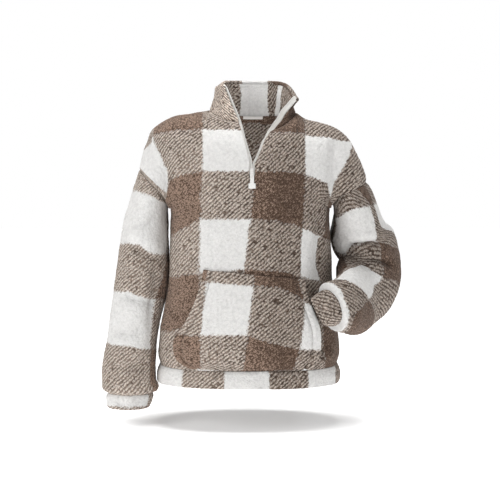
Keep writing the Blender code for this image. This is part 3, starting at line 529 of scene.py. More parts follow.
# The cloth pushed in and out by every crease of a list.
def folded(points, normals, creases):
    amount = np.zeros(points.shape[:-1])
    for path, width, depth in creases:
        amount += crease(points, path, width, depth)
    return points + normals * amount[..., None]


# How deep every place lies in the valleys of a list, 0 to 1: the painted shade that the creases lay on the
# pile.
def valleys(points, creases):
    amount = np.zeros(points.shape[:-1])
    for path, width, depth in creases:
        if depth > 0:
            amount -= crease(points, path, width * creaseShape["shadeWidth"], depth)
    return np.clip(amount / creaseShape["fullShade"], 0, 1)


# Pile over the cloth: tufts, and slow unevenness below them. Gives height, and 0 to 1 for the materials,
# which paint shade between the tufts with it.
def pile(points, strength=1.0):
    tuft = tufts(points, cloth["lumpSize"], 5)
    small = tufts(points, cloth["lumpSize"] * cloth["smallShare"], 11)
    slow = sum(hills(points, size, seed) * tall for size, tall, seed in cloth["slow"])
    level = cloth["tuftLevel"]
    height = strength * (cloth["lumpHeight"] * (tuft - level) + cloth["smallHeight"] * (small - level)) + slow
    tuftMask, smallMask = cloth["tuftMasks"]
    return height, tuftMask * tuft + smallMask * small


# Normals of a grid from the points around each; wrapped joins the last column to the first.
def gridNormals(points, wrapped=False):
    if wrapped:
        across = np.roll(points, -1, axis=0) - np.roll(points, 1, axis=0)
    else:
        across = np.gradient(points, axis=0)
    return unit(np.cross(across, np.gradient(points, axis=1)))


# Whether a grid's faces have to be turned over to face along its normals.
def facesIn(points, normals):
    return bool((np.cross(np.gradient(points, axis=0), np.gradient(points, axis=1)) * normals).sum() < 0)


# Distance along each column (axis 1) or row (axis 0) of a grid, from its start.
def runLength(points, axis):
    steps = np.linalg.norm(np.diff(points, axis=axis), axis=-1)
    zero = np.zeros_like(np.take(steps, [0], axis=axis))
    return np.concatenate([zero, np.cumsum(steps, axis=axis)], axis=axis)


# Distance from the nearer end of each row of a grid.
def fromEnds(points):
    return np.minimum(runLength(points, 0), runLength(points[::-1], 0)[::-1])


# Four outer steps for one inner step: a fan of triangles along an open edge.
def edgeFan(outer, inner):
    a, b, c, d, e = outer[:-1:4], outer[1::4], outer[2::4], outer[3::4], outer[4::4]
    m, n = inner[:-1], inner[1:]
    fans = [(b, a, m), (c, b, m), (c, m, n), (d, c, n), (e, d, n)]
    return np.concatenate([np.stack(fan, axis=-1) for fan in fans])


# The quads of a grid of point numbers.
def gridFaces(index):
    corners = [index[:-1, :-1], index[1:, :-1], index[1:, 1:], index[:-1, 1:]]
    return np.stack(corners, axis=-1).reshape(-1, 4)


def linked(name, data):
    obj = bpy.data.objects.new(name, data)
    bpy.context.scene.collection.objects.link(obj)
    return obj


# Points, quads and triangles as a smooth mesh object, with its cloth places and its pile mask for painted
# shade.
def meshObject(name, points, quads, triangles, values, material):
    used = np.unique(np.concatenate([quads.ravel(), triangles.ravel()]))
    number = np.zeros(len(points), np.int64)
    number[used] = np.arange(len(used))
    quads, triangles = number[quads], number[triangles]
    mesh = bpy.data.meshes.new(name)
    mesh.vertices.add(len(used))
    mesh.vertices.foreach_set("co", points[used].astype(np.float32).ravel())
    corners = np.concatenate([quads.ravel(), triangles.ravel()])
    mesh.loops.add(len(corners))
    mesh.loops.foreach_set("vertex_index", corners.astype(np.int32))
    starts = np.concatenate([np.arange(len(quads)) * 4, quads.size + np.arange(len(triangles)) * 3])
    mesh.polygons.add(len(starts))
    mesh.polygons.foreach_set("loop_start", starts.astype(np.int32))
    mesh.polygons.foreach_set("use_smooth", np.ones(len(starts), bool))
    for key, value in values.items():
        if value.ndim > 1:
            mesh.attributes.new(key, "FLOAT_VECTOR", "POINT")
            mesh.attributes[key].data.foreach_set("vector", value[used].astype(np.float32).ravel())
        else:
            mesh.attributes.new(key, "FLOAT", "POINT")
            mesh.attributes[key].data.foreach_set("value", value[used].astype(np.float32))
    mesh.update(calc_edges=True)
    mesh.validate()
    mesh.materials.append(material)
    return linked(name, mesh)


# A closed wall of cloth from one or more patches. The fine outer grid and the coarse inner grid of each
# are joined by fans along the edges that are open; later patches share the start of their first column.
def clothShell(name, patches, material, wrapped=False):
    outerCount = sum(patch["outer"].shape[0] * patch["outer"].shape[1] for patch in patches)
    start, innerStart, first = 0, outerCount, None
    quads, triangles = [], []
    for patch in patches:
        shape, coarse = patch["outer"].shape[:2], patch["inner"].shape[:2]
        o = start + np.arange(shape[0] * shape[1]).reshape(shape)
        m = innerStart + np.arange(coarse[0] * coarse[1]).reshape(coarse)
        start, innerStart = start + o.size, innerStart + m.size
        shared = patch.get("shared", 0)
        if first is not None and shared:
            o[0, :shared] = first[0][0, :shared]
            m[0, :(shared + 3) // 4] = first[1][0, :(shared + 3) // 4]
        first = first or (o, m)
        if wrapped:
            o, m = np.concatenate([o, o[:1]]), np.concatenate([m, m[:1]])
        rims = [(o[:, 0], m[:, 0]), (o[::-1, -1], m[::-1, -1])]
        if not wrapped:
            openFrom = max(shared - 1, 0)
            rims.append((o[-1], m[-1]))
            if openFrom < o.shape[1] - 1:
                rims.append((o[0, openFrom:][::-1], m[0, openFrom // 4:][::-1]))
        fans = np.concatenate([edgeFan(*rim) for rim in rims])
        faces = np.concatenate([gridFaces(o), gridFaces(m)[:, ::-1]])
        if patch["flip"]:
            faces, fans = faces[:, ::-1], fans[:, ::-1]
        quads.append(faces)
        triangles.append(fans)
    keys = [("outer", "inner"), ("cloth", "clothIn"), ("pile", "pileIn")]
    merged = []
    for pair in keys:
        parts = [patch[key] for key in pair for patch in patches]
        merged.append(np.concatenate([part.reshape(-1, *part.shape[2:]) for part in parts]))
    flat = np.zeros((len(merged[1]), 1))
    values = {
        "cloth": np.hstack([merged[1][:, :2], flat]),
        "weave": np.hstack([merged[1][:, 2:], flat]),
        "pile": merged[2],
    }
    return meshObject(name, merged[0], np.concatenate(quads), np.concatenate(triangles), values, material)


# One patch of cloth: the surface, its normals, its squares and places on the cloth, and how the outer side
# is thinned (edge, 0 at a rounded edge) and sunk (dip, at seams); the shade it is given is painted on its
# pile mask.
def clothPatch(points, normals, squares, edge=1.0, dip=0.0, strength=1.0, fat=0.0, shared=0, paintedShade=0.0):
    height, mask = pile(points, strength)
    # painted shade: crease valleys and seams lower the pile mask, which darkens the colour; below 0, painted
    # light
    mask = mask - paintedShade * cloth["hollow"]
    half = cloth["wall"] / 2
    lift = (half + fat + height) * edge - dip
    outer = points + normals * np.maximum(lift, -half * 0.6)[..., None]
    inner = (points - normals * half)[::4, ::4]
    return {
        "outer": outer, "inner": inner, "cloth": squares, "clothIn": squares[::4, ::4], "pile": mask,
        # the inner side takes half the mask, so it is drawn a little darker
        "pileIn": mask[::4, ::4] * 0.5, "flip": facesIn(points, normals), "shared": shared,
        "normals": normals, "base": points, "lift": lift,
    }


rollTurns = (40, 80, 120, 160)  # degrees


# Rolls the last row of a patch over its open edge, as a folded edge of cloth does, a row for each turn.
def rollEdge(patch, sink=0.0):
    base, normals = patch["base"], patch["normals"]
    away = unit(base[:, -1] - base[:, -3])
    top, under = patch["lift"][:, -1], cloth["wall"] / 2 + sink
    middle = ((top - under) / 2)[:, None]
    radius = ((top + under) / 2)[:, None]
    rows = []
    for angle in np.radians(rollTurns):
        rows.append(base[:, -1] + normals[:, -1] * (middle + radius * math.cos(angle))
                    + away * radius * math.sin(angle))
    rows = np.stack(rows, axis=1)
    lastPile = np.repeat(patch["pile"][:, -1:], len(rollTurns), axis=1)
    patch["pile"] = np.concatenate([patch["pile"], lastPile], axis=1)
    length = np.linalg.norm(base[:, -1] - base[:, -3], axis=-1)[:, None]
    rate = (patch["cloth"][:, -1] - patch["cloth"][:, -3]) / length
    turns = np.radians(rollTurns)[None, :, None]
    more = patch["cloth"][:, -1:] + rate[:, None] * radius[:, None] * turns
    patch["cloth"] = np.concatenate([patch["cloth"], more], axis=1)
    patch["outer"] = np.concatenate([patch["outer"], rows], axis=1)
    last = base[::4, -1] - normals[::4, -1] * under
    patch["inner"] = np.concatenate([patch["inner"], last[:, None]], axis=1)
    patch["inner"][:, -2] = last - away[::4] * 0.003
    patch["clothIn"] = np.concatenate([patch["clothIn"], patch["clothIn"][:, -1:]], axis=1)
    patch["pileIn"] = np.concatenate([patch["pileIn"], patch["pileIn"][:, -1:]], axis=1)
    return patch


# 0 at an edge, rising round a quarter circle to 1.
def roundOff(distance):
    return np.sqrt(np.clip(1 - (1 - np.clip(distance / cloth["edgeRound"], 0, 1)) ** 2, 0, 1))


# How deep the pile sinks at this distance from a seam.
def seamDip(distance):
    return cloth["seamDip"] * nearness(distance, cloth["seamReach"])


# Squares counted along each line of a grid: for each mark, how far every point is past it. Between the
# marks the squares are spread evenly, and beyond them they go on at their own size.
def counted(overs, along, numbers):
    squares = np.empty(along.shape)
    numbers = np.asarray(numbers, float)
    beyond = 6  # squares past the outermost marks
    reach = beyond * cloth["check"]
    for i, run in enumerate(along):
        marks = []
        for over in overs:
            past = np.maximum.accumulate(over[i])
            marks.append(np.interp(0, past, run) + max(-past[-1], 0) - max(past[0], 0))
        order = np.argsort(marks)
        places, counts = np.array(marks)[order], numbers[order]
        step = beyond * np.sign(counts[-1] - counts[0])
        places = np.concatenate([[places[0] - reach], places, [places[-1] + reach]])
        counts = np.concatenate([[counts[0] - step], counts, [counts[-1] + step]])
        squares[i] = np.interp(run, places, counts)
    return squares


# A line given as pairs, read at any place.
def lineAt(pairs, at):
    pairs = np.array(pairs, float)
    return np.interp(at, pairs[:, 0], pairs[:, 1])


# 1 at no distance, falling away over the reach.
def nearness(distance, reach):
    return np.exp(-(distance / reach) ** 2)


def blended(first, second, share):
    return first * (1 - share) + second * share


def inMetres(creases):
    return [(np.array(path) / 1000, width / 1000, depth / 1000) for path, width, depth in creases]


# Creases, listed in millimetres: a bowed line of three points, its width and its depth (below 0
# stands out).
bodyFolds = {
    "front": inMetres([
        (((-200, -60, -60), (-200, -80, -120), (-194, -75, -180)), 13, 8),
        (((185, -80, -45), (196, -85, -110), (188, -70, -185)), 16, 10),
        (((-196, -40, -195), (-194, -45, -255), (-196, -40, -320)), 19, 1),
        (((188, -40, -200), (187, -44, -225), (188, -40, -260)), 15, 1.5),
        (((0, -130, -122), (0, -131, -148), (0, -132, -176)), 13, 3.2),
        (((178, -85, -215), (161, -100, -300), (163, -100, -400)), 17, 10),
        (((130, -115, -225), (140, -115, -300), (138, -120, -370)), 18, -3),
        (((-187, -88, -170), (-130, -118, -215), (-60, -130, -235)), 20, 4.5),
        (((180, -90, -165), (130, -118, -195), (70, -130, -200)), 20, 4.5),
        (((-175, -90, -300), (-155, -114, -345), (-150, -118, -420)), 18, 6),
        (((-196, -40, -255), (-203, -47, -420), (-220, -45, -580)), 20, -4),
        (((-215, -50, -560), (-160, -115, -582), (-80, -138, -588)), 14, -4.5),
        (((200, -60, -555), (150, -118, -580), (60, -138, -586)), 14, -4.5),
        (((-165, -125, -600), (-150, -130, -625), (-158, -125, -650)), 12, 3),
        (((20, -140, -600), (30, -140, -625), (22, -140, -650)), 14, 3),
    ]),
    "back": inMetres([
        (((-196, 60, -70), (-186, 78, -130), (-188, 70, -190)), 16, 8),
        (((190, 70, -60), (184, 80, -120), (186, 70, -190)), 16, 9),
        (((-120, 110, -230), (-90, 110, -310), (-100, 112, -400)), 26, 6),
        (((100, 108, -220), (130, 105, -300), (120, 108, -410)), 24, 7),
        (((-30, 112, -430), (10, 114, -500), (0, 120, -560)), 28, 5),
        (((-180, 75, -180), (-120, 100, -225), (-50, 108, -240)), 22, 5),
        (((175, 75, -180), (120, 100, -215), (60, 108, -250)), 20, 5),
        (((-200, 50, -565), (-120, 105, -584), (10, 125, -586)), 14, -4.5),
        (((195, 55, -560), (140, 100, -582), (60, 120, -588)), 14, -4),
    ]),
}
sleeveFolds = {
    "right": inMetres([
        (((-225, -75, -215), (-245, -78, -250), (-285, -60, -270)), 13, 4),
        (((-305, -55, -262), (-255, -82, -292), (-212, -50, -308)), 15, -5),
        (((-310, -50, -298), (-256, -82, -328), (-214, -55, -345)), 12, 6),
        (((-234, -72, -335), (-240, -75, -430), (-246, -78, -530)), 11, 6),
        (((-330, -50, -392), (-280, -85, -402), (-225, -60, -415)), 16, -4),
        (((-325, -50, -425), (-272, -85, -440), (-222, -60, -452)), 14, 5),
        (((-345, -50, -510), (-300, -90, -520), (-255, -85, -505)), 16, 4),
        (((-350, -50, -585), (-300, -92, -600), (-245, -75, -590)), 14, 4.5),
        (((-345, -60, -634), (-285, -95, -640), (-236, -60, -636)), 12, -4),
        (((-270, 50, -260), (-260, 70, -330), (-290, 50, -380)), 18, 6),
        (((-300, 30, -480), (-290, 42, -540), (-320, 20, -590)), 16, 5),
        (((-240, 60, -410), (-285, 62, -430), (-330, 30, -425)), 15, 5),
    ]),
    "left": inMetres([
        (((222, -35, -298), (262, -55, -284), (312, -25, -284)), 13, -5),
        (((216, -8, -338), (260, -34, -306), (330, -10, -312)), 10, 14),
        (((262, -34, -330), (300, -18, -332), (345, 8, -338)), 9, -4),
        (((262, -34, -344), (312, -12, -348), (358, 18, -372)), 9, 11),
        (((202, 28, -300), (220, 22, -340), (204, -70, -384)), 20, -10),
        (((200, -6, -190), (195, 6, -235), (190, 20, -310)), 24, 6.5),
        (((215, -75, -372), (235, -50, -352), (262, -30, -345)), 8, 7),
        (((262, -60, -360), (300, -40, -372), (335, 0, -398)), 14, -4),
        (((225, -150, -400), (262, -130, -430), (285, -90, -470)), 14, 4),
        (((250, 75, -270), (290, 85, -310), (330, 70, -340)), 18, 6),
        (((345, 40, -350), (356, 45, -400), (340, 30, -450)), 18, -4),
    ]),
}
cuffFolds = inMetres([
    (((-330, -75, -668), (-325, -78, -680), (-330, -72, -694)), 10, 2.5),
    (((-275, -80, -668), (-280, -80, -680), (-275, -78, -694)), 10, 2.5),
    (((168, -170, -425), (160, -178, -450), (160, -170, -480)), 10, 3),
])
collarFolds = inMetres([
    (((-90, -35, 88), (-96, 0, 92), (-88, 30, 92)), 16, 9),
    (((-80, -45, 10), (-80, -45, 40), (-78, -45, 70)), 12, 3),
    (((95, -35, -5), (98, -38, 20), (98, -40, 45)), 12, 3),
    (((-45, 55, 15), (-40, 58, 45), (-46, 56, 75)), 12, 2),
    (((40, 58, 15), (44, 56, 45), (40, 56, 75)), 14, 2),
])
pocketFolds = inMetres([
    (((-105, -160, -385), (-118, -165, -450), (-150, -160, -515)), 9, 4),
    (((125, -155, -395), (132, -155, -430), (140, -150, -480)), 12, 4),
    (((60, -160, -570), (90, -160, -530), (115, -160, -450)), 18, 4),
    (((-60, -160, -580), (-75, -160, -540), (-120, -160, -500)), 16, 4),
    (((-165, -150, -560), (-140, -155, -530), (-130, -160, -480)), 14, -3),
    (((-20, -165, -400), (0, -168, -450), (-10, -168, -520)), 30, -3),
])


# Where squares end on the body. Rows: their height at distances from the middle; columns: their distance
# from the middle at heights, going up, for counts 0, 1 and 2.
bodyMarks = {
    -1: {
        "rows": (
            ((0, -0.030), (0.12, -0.028), (0.17, -0.030), (0.206, -0.036), (0.236, -0.042), (0.240, -0.060),
             (0.269, -0.088), (0.28, -0.096)),
            ((0, -0.125), (0.12, -0.125), (0.165, -0.133), (0.197, -0.149), (0.203, -0.178),
             (0.215, -0.170),
             (0.24, -0.148), (0.263, -0.126), (0.28, -0.112)),
            ((0, -0.238), (0.1226, -0.238), (0.16, -0.262), (0.197, -0.286), (0.21, -0.290)),
            ((0, -0.356), (0.12, -0.368), (0.16, -0.374), (0.195, -0.385), (0.21, -0.390)),
            ((0, -0.468), (0.12, -0.480), (0.16, -0.500), (0.20, -0.515)),
        ),
        "columns": (
            ((-0.600, 0.030), (-0.354, 0.0188), (-0.180, -0.0033), (-0.120, 0.0), (0.0, 0.0)),
            ((-0.600, 0.130), (-0.400, 0.124), (-0.200, 0.1226), (-0.125, 0.1168), (0.0, 0.116)),
            ((-0.200, 0.245), (-0.185, 0.203), (-0.125, 0.202), (-0.113, 0.2095), (-0.082, 0.219),
             (-0.055, 0.235),
             (0.0, 0.240)),
        ),
    },
    1: {
        "rows": (
            ((0, -0.033), (0.12, -0.037), (0.127, -0.042), (0.17, -0.046), (0.235, -0.058), (0.27, -0.066)),
            ((0, -0.125), (0.09, -0.125), (0.117, -0.130), (0.178, -0.154), (0.186, -0.190),
             (0.195, -0.210),
             (0.28, -0.220)),
            ((0, -0.238), (0.06, -0.241), (0.113, -0.259), (0.12, -0.261), (0.164, -0.281), (0.19, -0.300)),
            ((0, -0.356), (0.08, -0.362), (0.115, -0.376), (0.164, -0.392), (0.19, -0.400)),
            ((0, -0.468), (0.10, -0.480), (0.13, -0.600), (0.18, -0.610)),
        ),
        "columns": (
            ((-0.600, -0.030), (-0.354, -0.0188), (-0.180, 0.0033), (-0.120, 0.0), (0.0, 0.0)),
            ((-0.600, 0.122), (-0.400, 0.1155), (-0.285, 0.1155), (-0.263, 0.1195), (-0.237, 0.1218),
             (-0.205, 0.1250),
             (-0.172, 0.1245), (-0.125, 0.1250), (0.0, 0.125)),
            ((-0.600, 0.172), (-0.480, 0.168), (-0.397, 0.163), (-0.347, 0.1545), (-0.317, 0.1565),
             (-0.286, 0.1625),
             (-0.277, 0.1740), (-0.236, 0.1767), (-0.195, 0.1836), (-0.161, 0.1945), (-0.130, 0.2117),
             (-0.106, 0.2238), (-0.070, 0.240), (0.0, 0.245)),
        ),
    },
}
backRows = (
    ((0, -0.012), (0.12, -0.022), (0.27, -0.062)), ((0, -0.136), (0.15, -0.140), (0.20, -0.190),
     (0.28, -0.205)),
    ((0, -0.240), (0.15, -0.245), (0.195, -0.275)), ((0, -0.354), (0.15, -0.360), (0.195, -0.380)),
    ((0, -0.468), (0.15, -0.475), (0.20, -0.500)),
)


# The grid of a half panel: distances of its first columns, counts of its columns and rows.
panelGrid = {
    "near": [0, 0.0005, 0.0012, 0.0022, 0.0036, 0.0054, 0.0074, 0.0095], "neckFrom": 0.0116,
    "neck": 45, "side": 85, "low": 193, "closed": 45, "open": 69, "ringAt": -0.40,
}


# Places across a half panel: even steps along its ring, closer together beside the middle.
def panelColumns():
    fine = np.linspace(0, 1, 4001) ** 1.35
    x, y = ringQuarter(-1, -1, fine, np.full(len(fine), panelGrid["ringAt"]))
    lengths = np.concatenate([[0], np.cumsum(np.hypot(np.diff(x), np.diff(y)))])
    toNeck = np.interp(neckShare, fine, lengths)
    even = np.linspace(panelGrid["neckFrom"], toNeck, panelGrid["neck"])
    neckPart = np.interp(np.concatenate([panelGrid["near"], even]), lengths, fine)
    neckPart[-1] = neckShare
    sidePart = np.interp(np.linspace(toNeck, lengths[-1], panelGrid["side"])[1:], lengths, fine)
    sidePart[-1] = 1
    return np.concatenate([neckPart, sidePart]), len(neckPart) - 1


panelAcross, neckColumn = panelColumns()
panelLow = np.linspace(0, 1, panelGrid["low"])
panelHigh = np.concatenate([np.linspace(0, slitRise, panelGrid["closed"]),
                            np.linspace(slitRise, 1, panelGrid["open"])[1:]])
slitRow = panelGrid["low"] - 1 + panelGrid["closed"] - 1


# Half of the front or back, its columns from the middle to the side seam, ready to be a patch.
def panelPatch(side, face):
    up = np.concatenate([panelLow, 1 + panelHigh[1:]])
    across, ups = panelAcross[:, None], up[None, :]
    points = bodyPoint(side, face, across, ups)
    low = len(panelLow) - 1
    seamPoints, seamNormals, intoBody = armholeSeam(side, np.pi * (panelHigh if face < 0 else 2 - panelHigh))
    points[-1, low:] = seamPoints + intoBody * seamInset
    columnRun, rowRun = runLength(points, 1), runLength(points, 0)
    squares = panelSquares(points, columnRun, rowRun, side, face)
    normals = shaped(points, side, face, seamNormals, columnRun, rowRun)
    fold = bodyFolds["front" if face < 0 else "back"]
    points = folded(points, normals, fold)
    points[0, :slitRow + 1 if face < 0 else None, 0] = 0
    points[-1, :low + 1, 1] = face * seamHalf
    points[neckColumn:, -1, 1] = face * seamHalf
    normals = shaped(points, side, face, seamNormals, columnRun, rowRun)
    fromSide = rowRun[-1:] - rowRun
    fromTop = columnRun[:, -1:] - columnRun
    dip = seamDip(fromSide) + seamDip(fromTop) + seamDip(columnRun)
    edge = 1.0
    shared = len(up)
    if face < 0:
        isOpen = np.clip((np.arange(len(up)) - slitRow) / 4, 0, 1)[None, :]
        edge = 1 - isOpen * (1 - roundOff(rowRun))
        dip = dip + seamDip(rowRun - 0.006) * 0.25 * isOpen
        shared = slitRow + 1
    return clothPatch(points, normals, squares, edge=edge, dip=dip, shared=shared)


turnReach = 0.010  # how far from a seam a panel's normals turn


# Normals of a half panel, turned toward those that it shares with its neighbours at each seam.
def shaped(points, side, face, seamNormals, columnRun, rowRun):
    normals = gridNormals(points) * (-side * face)
    low = len(panelLow) - 1
    toSide = nearness(rowRun[-1:] - rowRun, turnReach)[..., None]
    target = np.concatenate([np.tile([side, 0.0, 0.0], (low, 1)), seamNormals])[None]
    normals = blended(normals, target, toSide)
    toTop = nearness(columnRun[:, -1:] - columnRun, turnReach)[..., None]
    place = np.clip(panelAcross / neckShare, 0, 1)
    neck = neckNormal(side, place if face < 0 else 2 - place)
    top = np.where((panelAcross > neckShare)[:, None], shoulderNormal(side, panelAcross), neck)
    top[-1] = seamNormals[-1]
    normals = blended(normals, top[:, None], toTop)
    closed = slitRow + 1 if face < 0 else None
    normals[0, :closed, 0] = 0
    return unit(normals)


# Beside the armhole, at the front's left and the back's right, places on the cloth are taken straight from
# x and z: from where, over what lengths, and what is added so that they join the rest.
underArm = {"out": 0.158, "outOver": 0.030, "low": -0.205, "lowOver": 0.03, "top": -0.050, "topOver": 0.035,
            "addOut": 0.02, "addUp": 0.64}


# Squares across and down, and places on the cloth across and up.
def panelSquares(points, columnRun, rowRun, side, face):
    away, height = np.abs(points[..., 0]), points[..., 2]
    rows = bodyMarks[side]["rows"] if face < 0 else backRows
    rising = [height - lineAt(row, away) for row in rows]
    down = counted(rising, columnRun, np.arange(1, len(rows) + 1))
    if face < 0:
        outward = [(away - lineAt(column, height)).T for column in bodyMarks[side]["columns"]]
        sideways = side * counted(outward, rowRun.T, (0, 1, 2)).T
    else:
        sideways = 0.5 + side * (rowRun + away[:1]) / cloth["check"]
    level = ease((away - underArm["out"]) / underArm["outOver"])
    level = level * ease((height - underArm["low"]) / underArm["lowOver"]) * (face * side < 0)
    level = level * ease((underArm["top"] - height) / underArm["topOver"])
    wide = blended(rowRun + away[:1], away + underArm["addOut"], level)
    tall = blended(columnRun, height + underArm["addUp"], level)
    return np.stack([sideways, down, side * wide, tall], axis=-1)


# Where squares end on the sleeves. Rows: distance down the sleeve at degrees round it from the inner side;
# columns: degrees round it at distances down, for counts from "first".
sleeves = {
    "columns": 224,
    "dropFrom": -0.40,
    "drop": 0.0085,  # how much lower the hanging sleeve's end is than its rings say
    "dropOver": 0.24,
    "outward": 0.002,  # and how much further out
    "outwardOver": 0.20,
    "turnReach": 0.012,
    "underSeam": 0.7,  # depth of the seam under the arm against the others
    "puffFade": 0.006,
    "beyond": 0.24,  # two squares, past the outermost rows
    "right": {
        "rows": (
            ((0, 0.022), (29, 0.019), (87, 0.023), (159, 0.036), (200, 0.040), (270, 0.030), (360, 0.022)),
            ((0, 0.160), (56, 0.165), (80, 0.159), (98, 0.146), (162, 0.157), (230, 0.160),
             (300, 0.155), (360, 0.160)),
            ((0, 0.285), (59, 0.276), (90, 0.267), (111, 0.259), (149, 0.263), (230, 0.270),
             (300, 0.280), (360, 0.285)),
            ((0, 0.407), (24, 0.405), (85, 0.394), (153, 0.392), (230, 0.395), (300, 0.400), (360, 0.407)),
            ((0, 0.520), (360, 0.520)),
        ),
        "columns": (
            ((0.0, 15), (0.165, 18), (0.20, 33), (0.27, 48), (0.34, 42), (0.40, 35), (0.51, 35)),
            ((0.0, 177), (0.51, 180)), ((0.0, 283), (0.51, 283)),
        ),
        "first": 1,
        "lines": 269,  # of points down the sleeve
    },
    "left": {
        "rows": (
            ((0, 0.055), (11, 0.050), (61, 0.038), (88, 0.038), (114, 0.046), (153, 0.054),
             (200, 0.056), (270, 0.050),
             (360, 0.055)),
            ((0, 0.128), (16, 0.132), (40, 0.142), (64, 0.126), (90, 0.126), (111, 0.138), (145, 0.176),
             (180, 0.185),
             (230, 0.170), (300, 0.140), (360, 0.128)),
            ((0, 0.440), (30, 0.430), (55, 0.418), (61, 0.404), (80, 0.372), (108, 0.292), (135, 0.268),
             (156, 0.246),
             (200, 0.235), (270, 0.260), (330, 0.360), (360, 0.440)),
            ((0, 0.455), (40, 0.452), (74, 0.448), (98, 0.438), (125, 0.420), (151, 0.394),
             (196, 0.328), (230, 0.330),
             (270, 0.370), (320, 0.430), (360, 0.455)),
            ((0, 0.466), (60, 0.470), (98, 0.466), (135, 0.469), (160, 0.468), (217, 0.472),
             (270, 0.469), (360, 0.466)),
        ),
        "columns": (
            ((0.0, 10), (0.03, 16), (0.06, 28), (0.090, 25), (0.104, 18), (0.132, 16), (0.154, 27),
             (0.25, 40), (0.35, 50),
             (0.418, 55), (0.446, 60), (0.455, 30), (0.464, 4)),
            ((0.0, 112), (0.046, 128), (0.08, 126), (0.134, 114), (0.19, 114), (0.224, 122), (0.268, 135),
             (0.394, 151), (0.452, 163), (0.458, 180), (0.464, 290)),
            ((0.0, 143), (0.104, 140), (0.14, 160), (0.20, 185), (0.28, 215), (0.36, 245), (0.44, 280),
             (0.464, 345)),
        ),
        "first": 3,
        "lines": 241,
    },
    "cuffRows": 17,
    "cuffColumns": {
        "right": ((0, 0.7), (30, 0.95), (45, 1.2), (180, 1.8), (300, 2.4), (360, 2.9)),
        "left": ((0, 0.5), (360, 0.5)),
    },
    "cuffFirst": {"right": 5.765, "left": 1.45},
    "puff": {"right": (0.0045, 0.015, 0.011), "left": (0.0060, 0.010, 0.009)},  # height, place, width
}


# Ellipses about a middle line, as many as wanted, through the rings of a table.
def ringsAlong(middles, halfLongs, halfDeeps, rows):
    lengths = lengthsAlong(middles)
    at = np.linspace(0, lengths[-1], rows)
    return [smoothCurve(lengths, table, at) for table in (middles, halfLongs, halfDeeps)] + [at]


def tubeAngles():
    return np.arange(sleeves["columns"]) / sleeves["columns"] * 2 * math.pi


# Points of a sleeve or cuff: from the inner side over the front and the outer side to the back.
def tubePoints(middles, halfLongs, halfDeeps):
    angles = tubeAngles()
    return (middles[None] - np.cos(angles)[:, None, None] * halfLongs[None]
            + np.sin(angles)[:, None, None] * halfDeeps[None])


# A sleeve or cuff as a patch: its rings, creases and squares, at an armhole if it is a sleeve, and the
# puff of cloth above its cuff.
def sleevePatch(tables, rows, creases, squares, armhole=None, puff=None, fat=0.0):
    seamNormals = None
    middles, longs, deeps, at = ringsAlong(*tables, rows)
    points = tubePoints(middles, longs, deeps)
    angles = tubeAngles()
    if armhole is not None:
        seamPoints, seamNormals, intoBody = armholeSeam(armhole, angles)
        points[:, 0] = seamPoints - intoBody * seamInset
    run = runLength(points, 1)
    cloths = squares(points, run, angles, at)

    def turned(grid):
        normals = gridNormals(grid, wrapped=True)
        normals = normals * np.sign((normals * (grid - middles[None])).sum())
        first = seamNormals
        if armhole is None:
            first = ellipseNormal(grid[:, 0], middles[0], longs[0], deeps[0])
        last = ellipseNormal(grid[:, -1], middles[-1], longs[-1], deeps[-1])
        atFirst = nearness(run, sleeves["turnReach"])[..., None]
        atLast = nearness(run[:, -1:] - run, sleeves["turnReach"])[..., None]
        return unit(blended(blended(normals, first[:, None], atFirst), last[:, None], atLast))

    normals = turned(points)
    first = points[:, 0].copy()
    # painted shade in the creases' valleys, laid into the pile mask
    paintedShade = valleys(points, creases)
    points = folded(points, normals, creases)
    if armhole is not None:
        points[:, 0] = first
    if puff:
        height, place, width = puff
        fromEnd = run[:, -1:] - run
        swell = height * nearness(fromEnd - place, width) * ease(fromEnd / sleeves["puffFade"])
        points = points + normals * swell[..., None]
    normals = turned(points)
    fromUnder = np.minimum(angles, 2 * math.pi - angles)[:, None] * np.linalg.norm(deeps, axis=-1)[None]
    dip = seamDip(run) + seamDip(fromUnder) * sleeves["underSeam"]
    if puff:
        dip = dip + seamDip(run[:, -1:] - run)
    return clothPatch(points, normals, cloths, dip=dip, fat=fat, paintedShade=paintedShade)


# Middles and half axes of the hanging sleeve's or cuff's rings, its end moved down and outward.
def hangingTables(rings):
    rings = rings.copy()
    low = sleeves["dropFrom"]
    rings[:, [1, 3]] -= sleeves["drop"] * ease((low - rings[:, [1, 3]]) / sleeves["dropOver"])
    rings[:, [0, 2]] -= sleeves["outward"] * ease((low - rings[:, [1, 3]]) / sleeves["outwardOver"])
    zero = np.zeros(len(rings))
    outer = np.stack([rings[:, 0], zero, rings[:, 1]], axis=-1)
    inner = np.stack([rings[:, 2], zero, rings[:, 3]], axis=-1)
    middles = (outer + inner) / 2 + np.stack([zero, rings[:, 4], zero], axis=-1)
    return middles, (outer - inner) / 2, np.stack([zero, -rings[:, 5], zero], axis=-1)


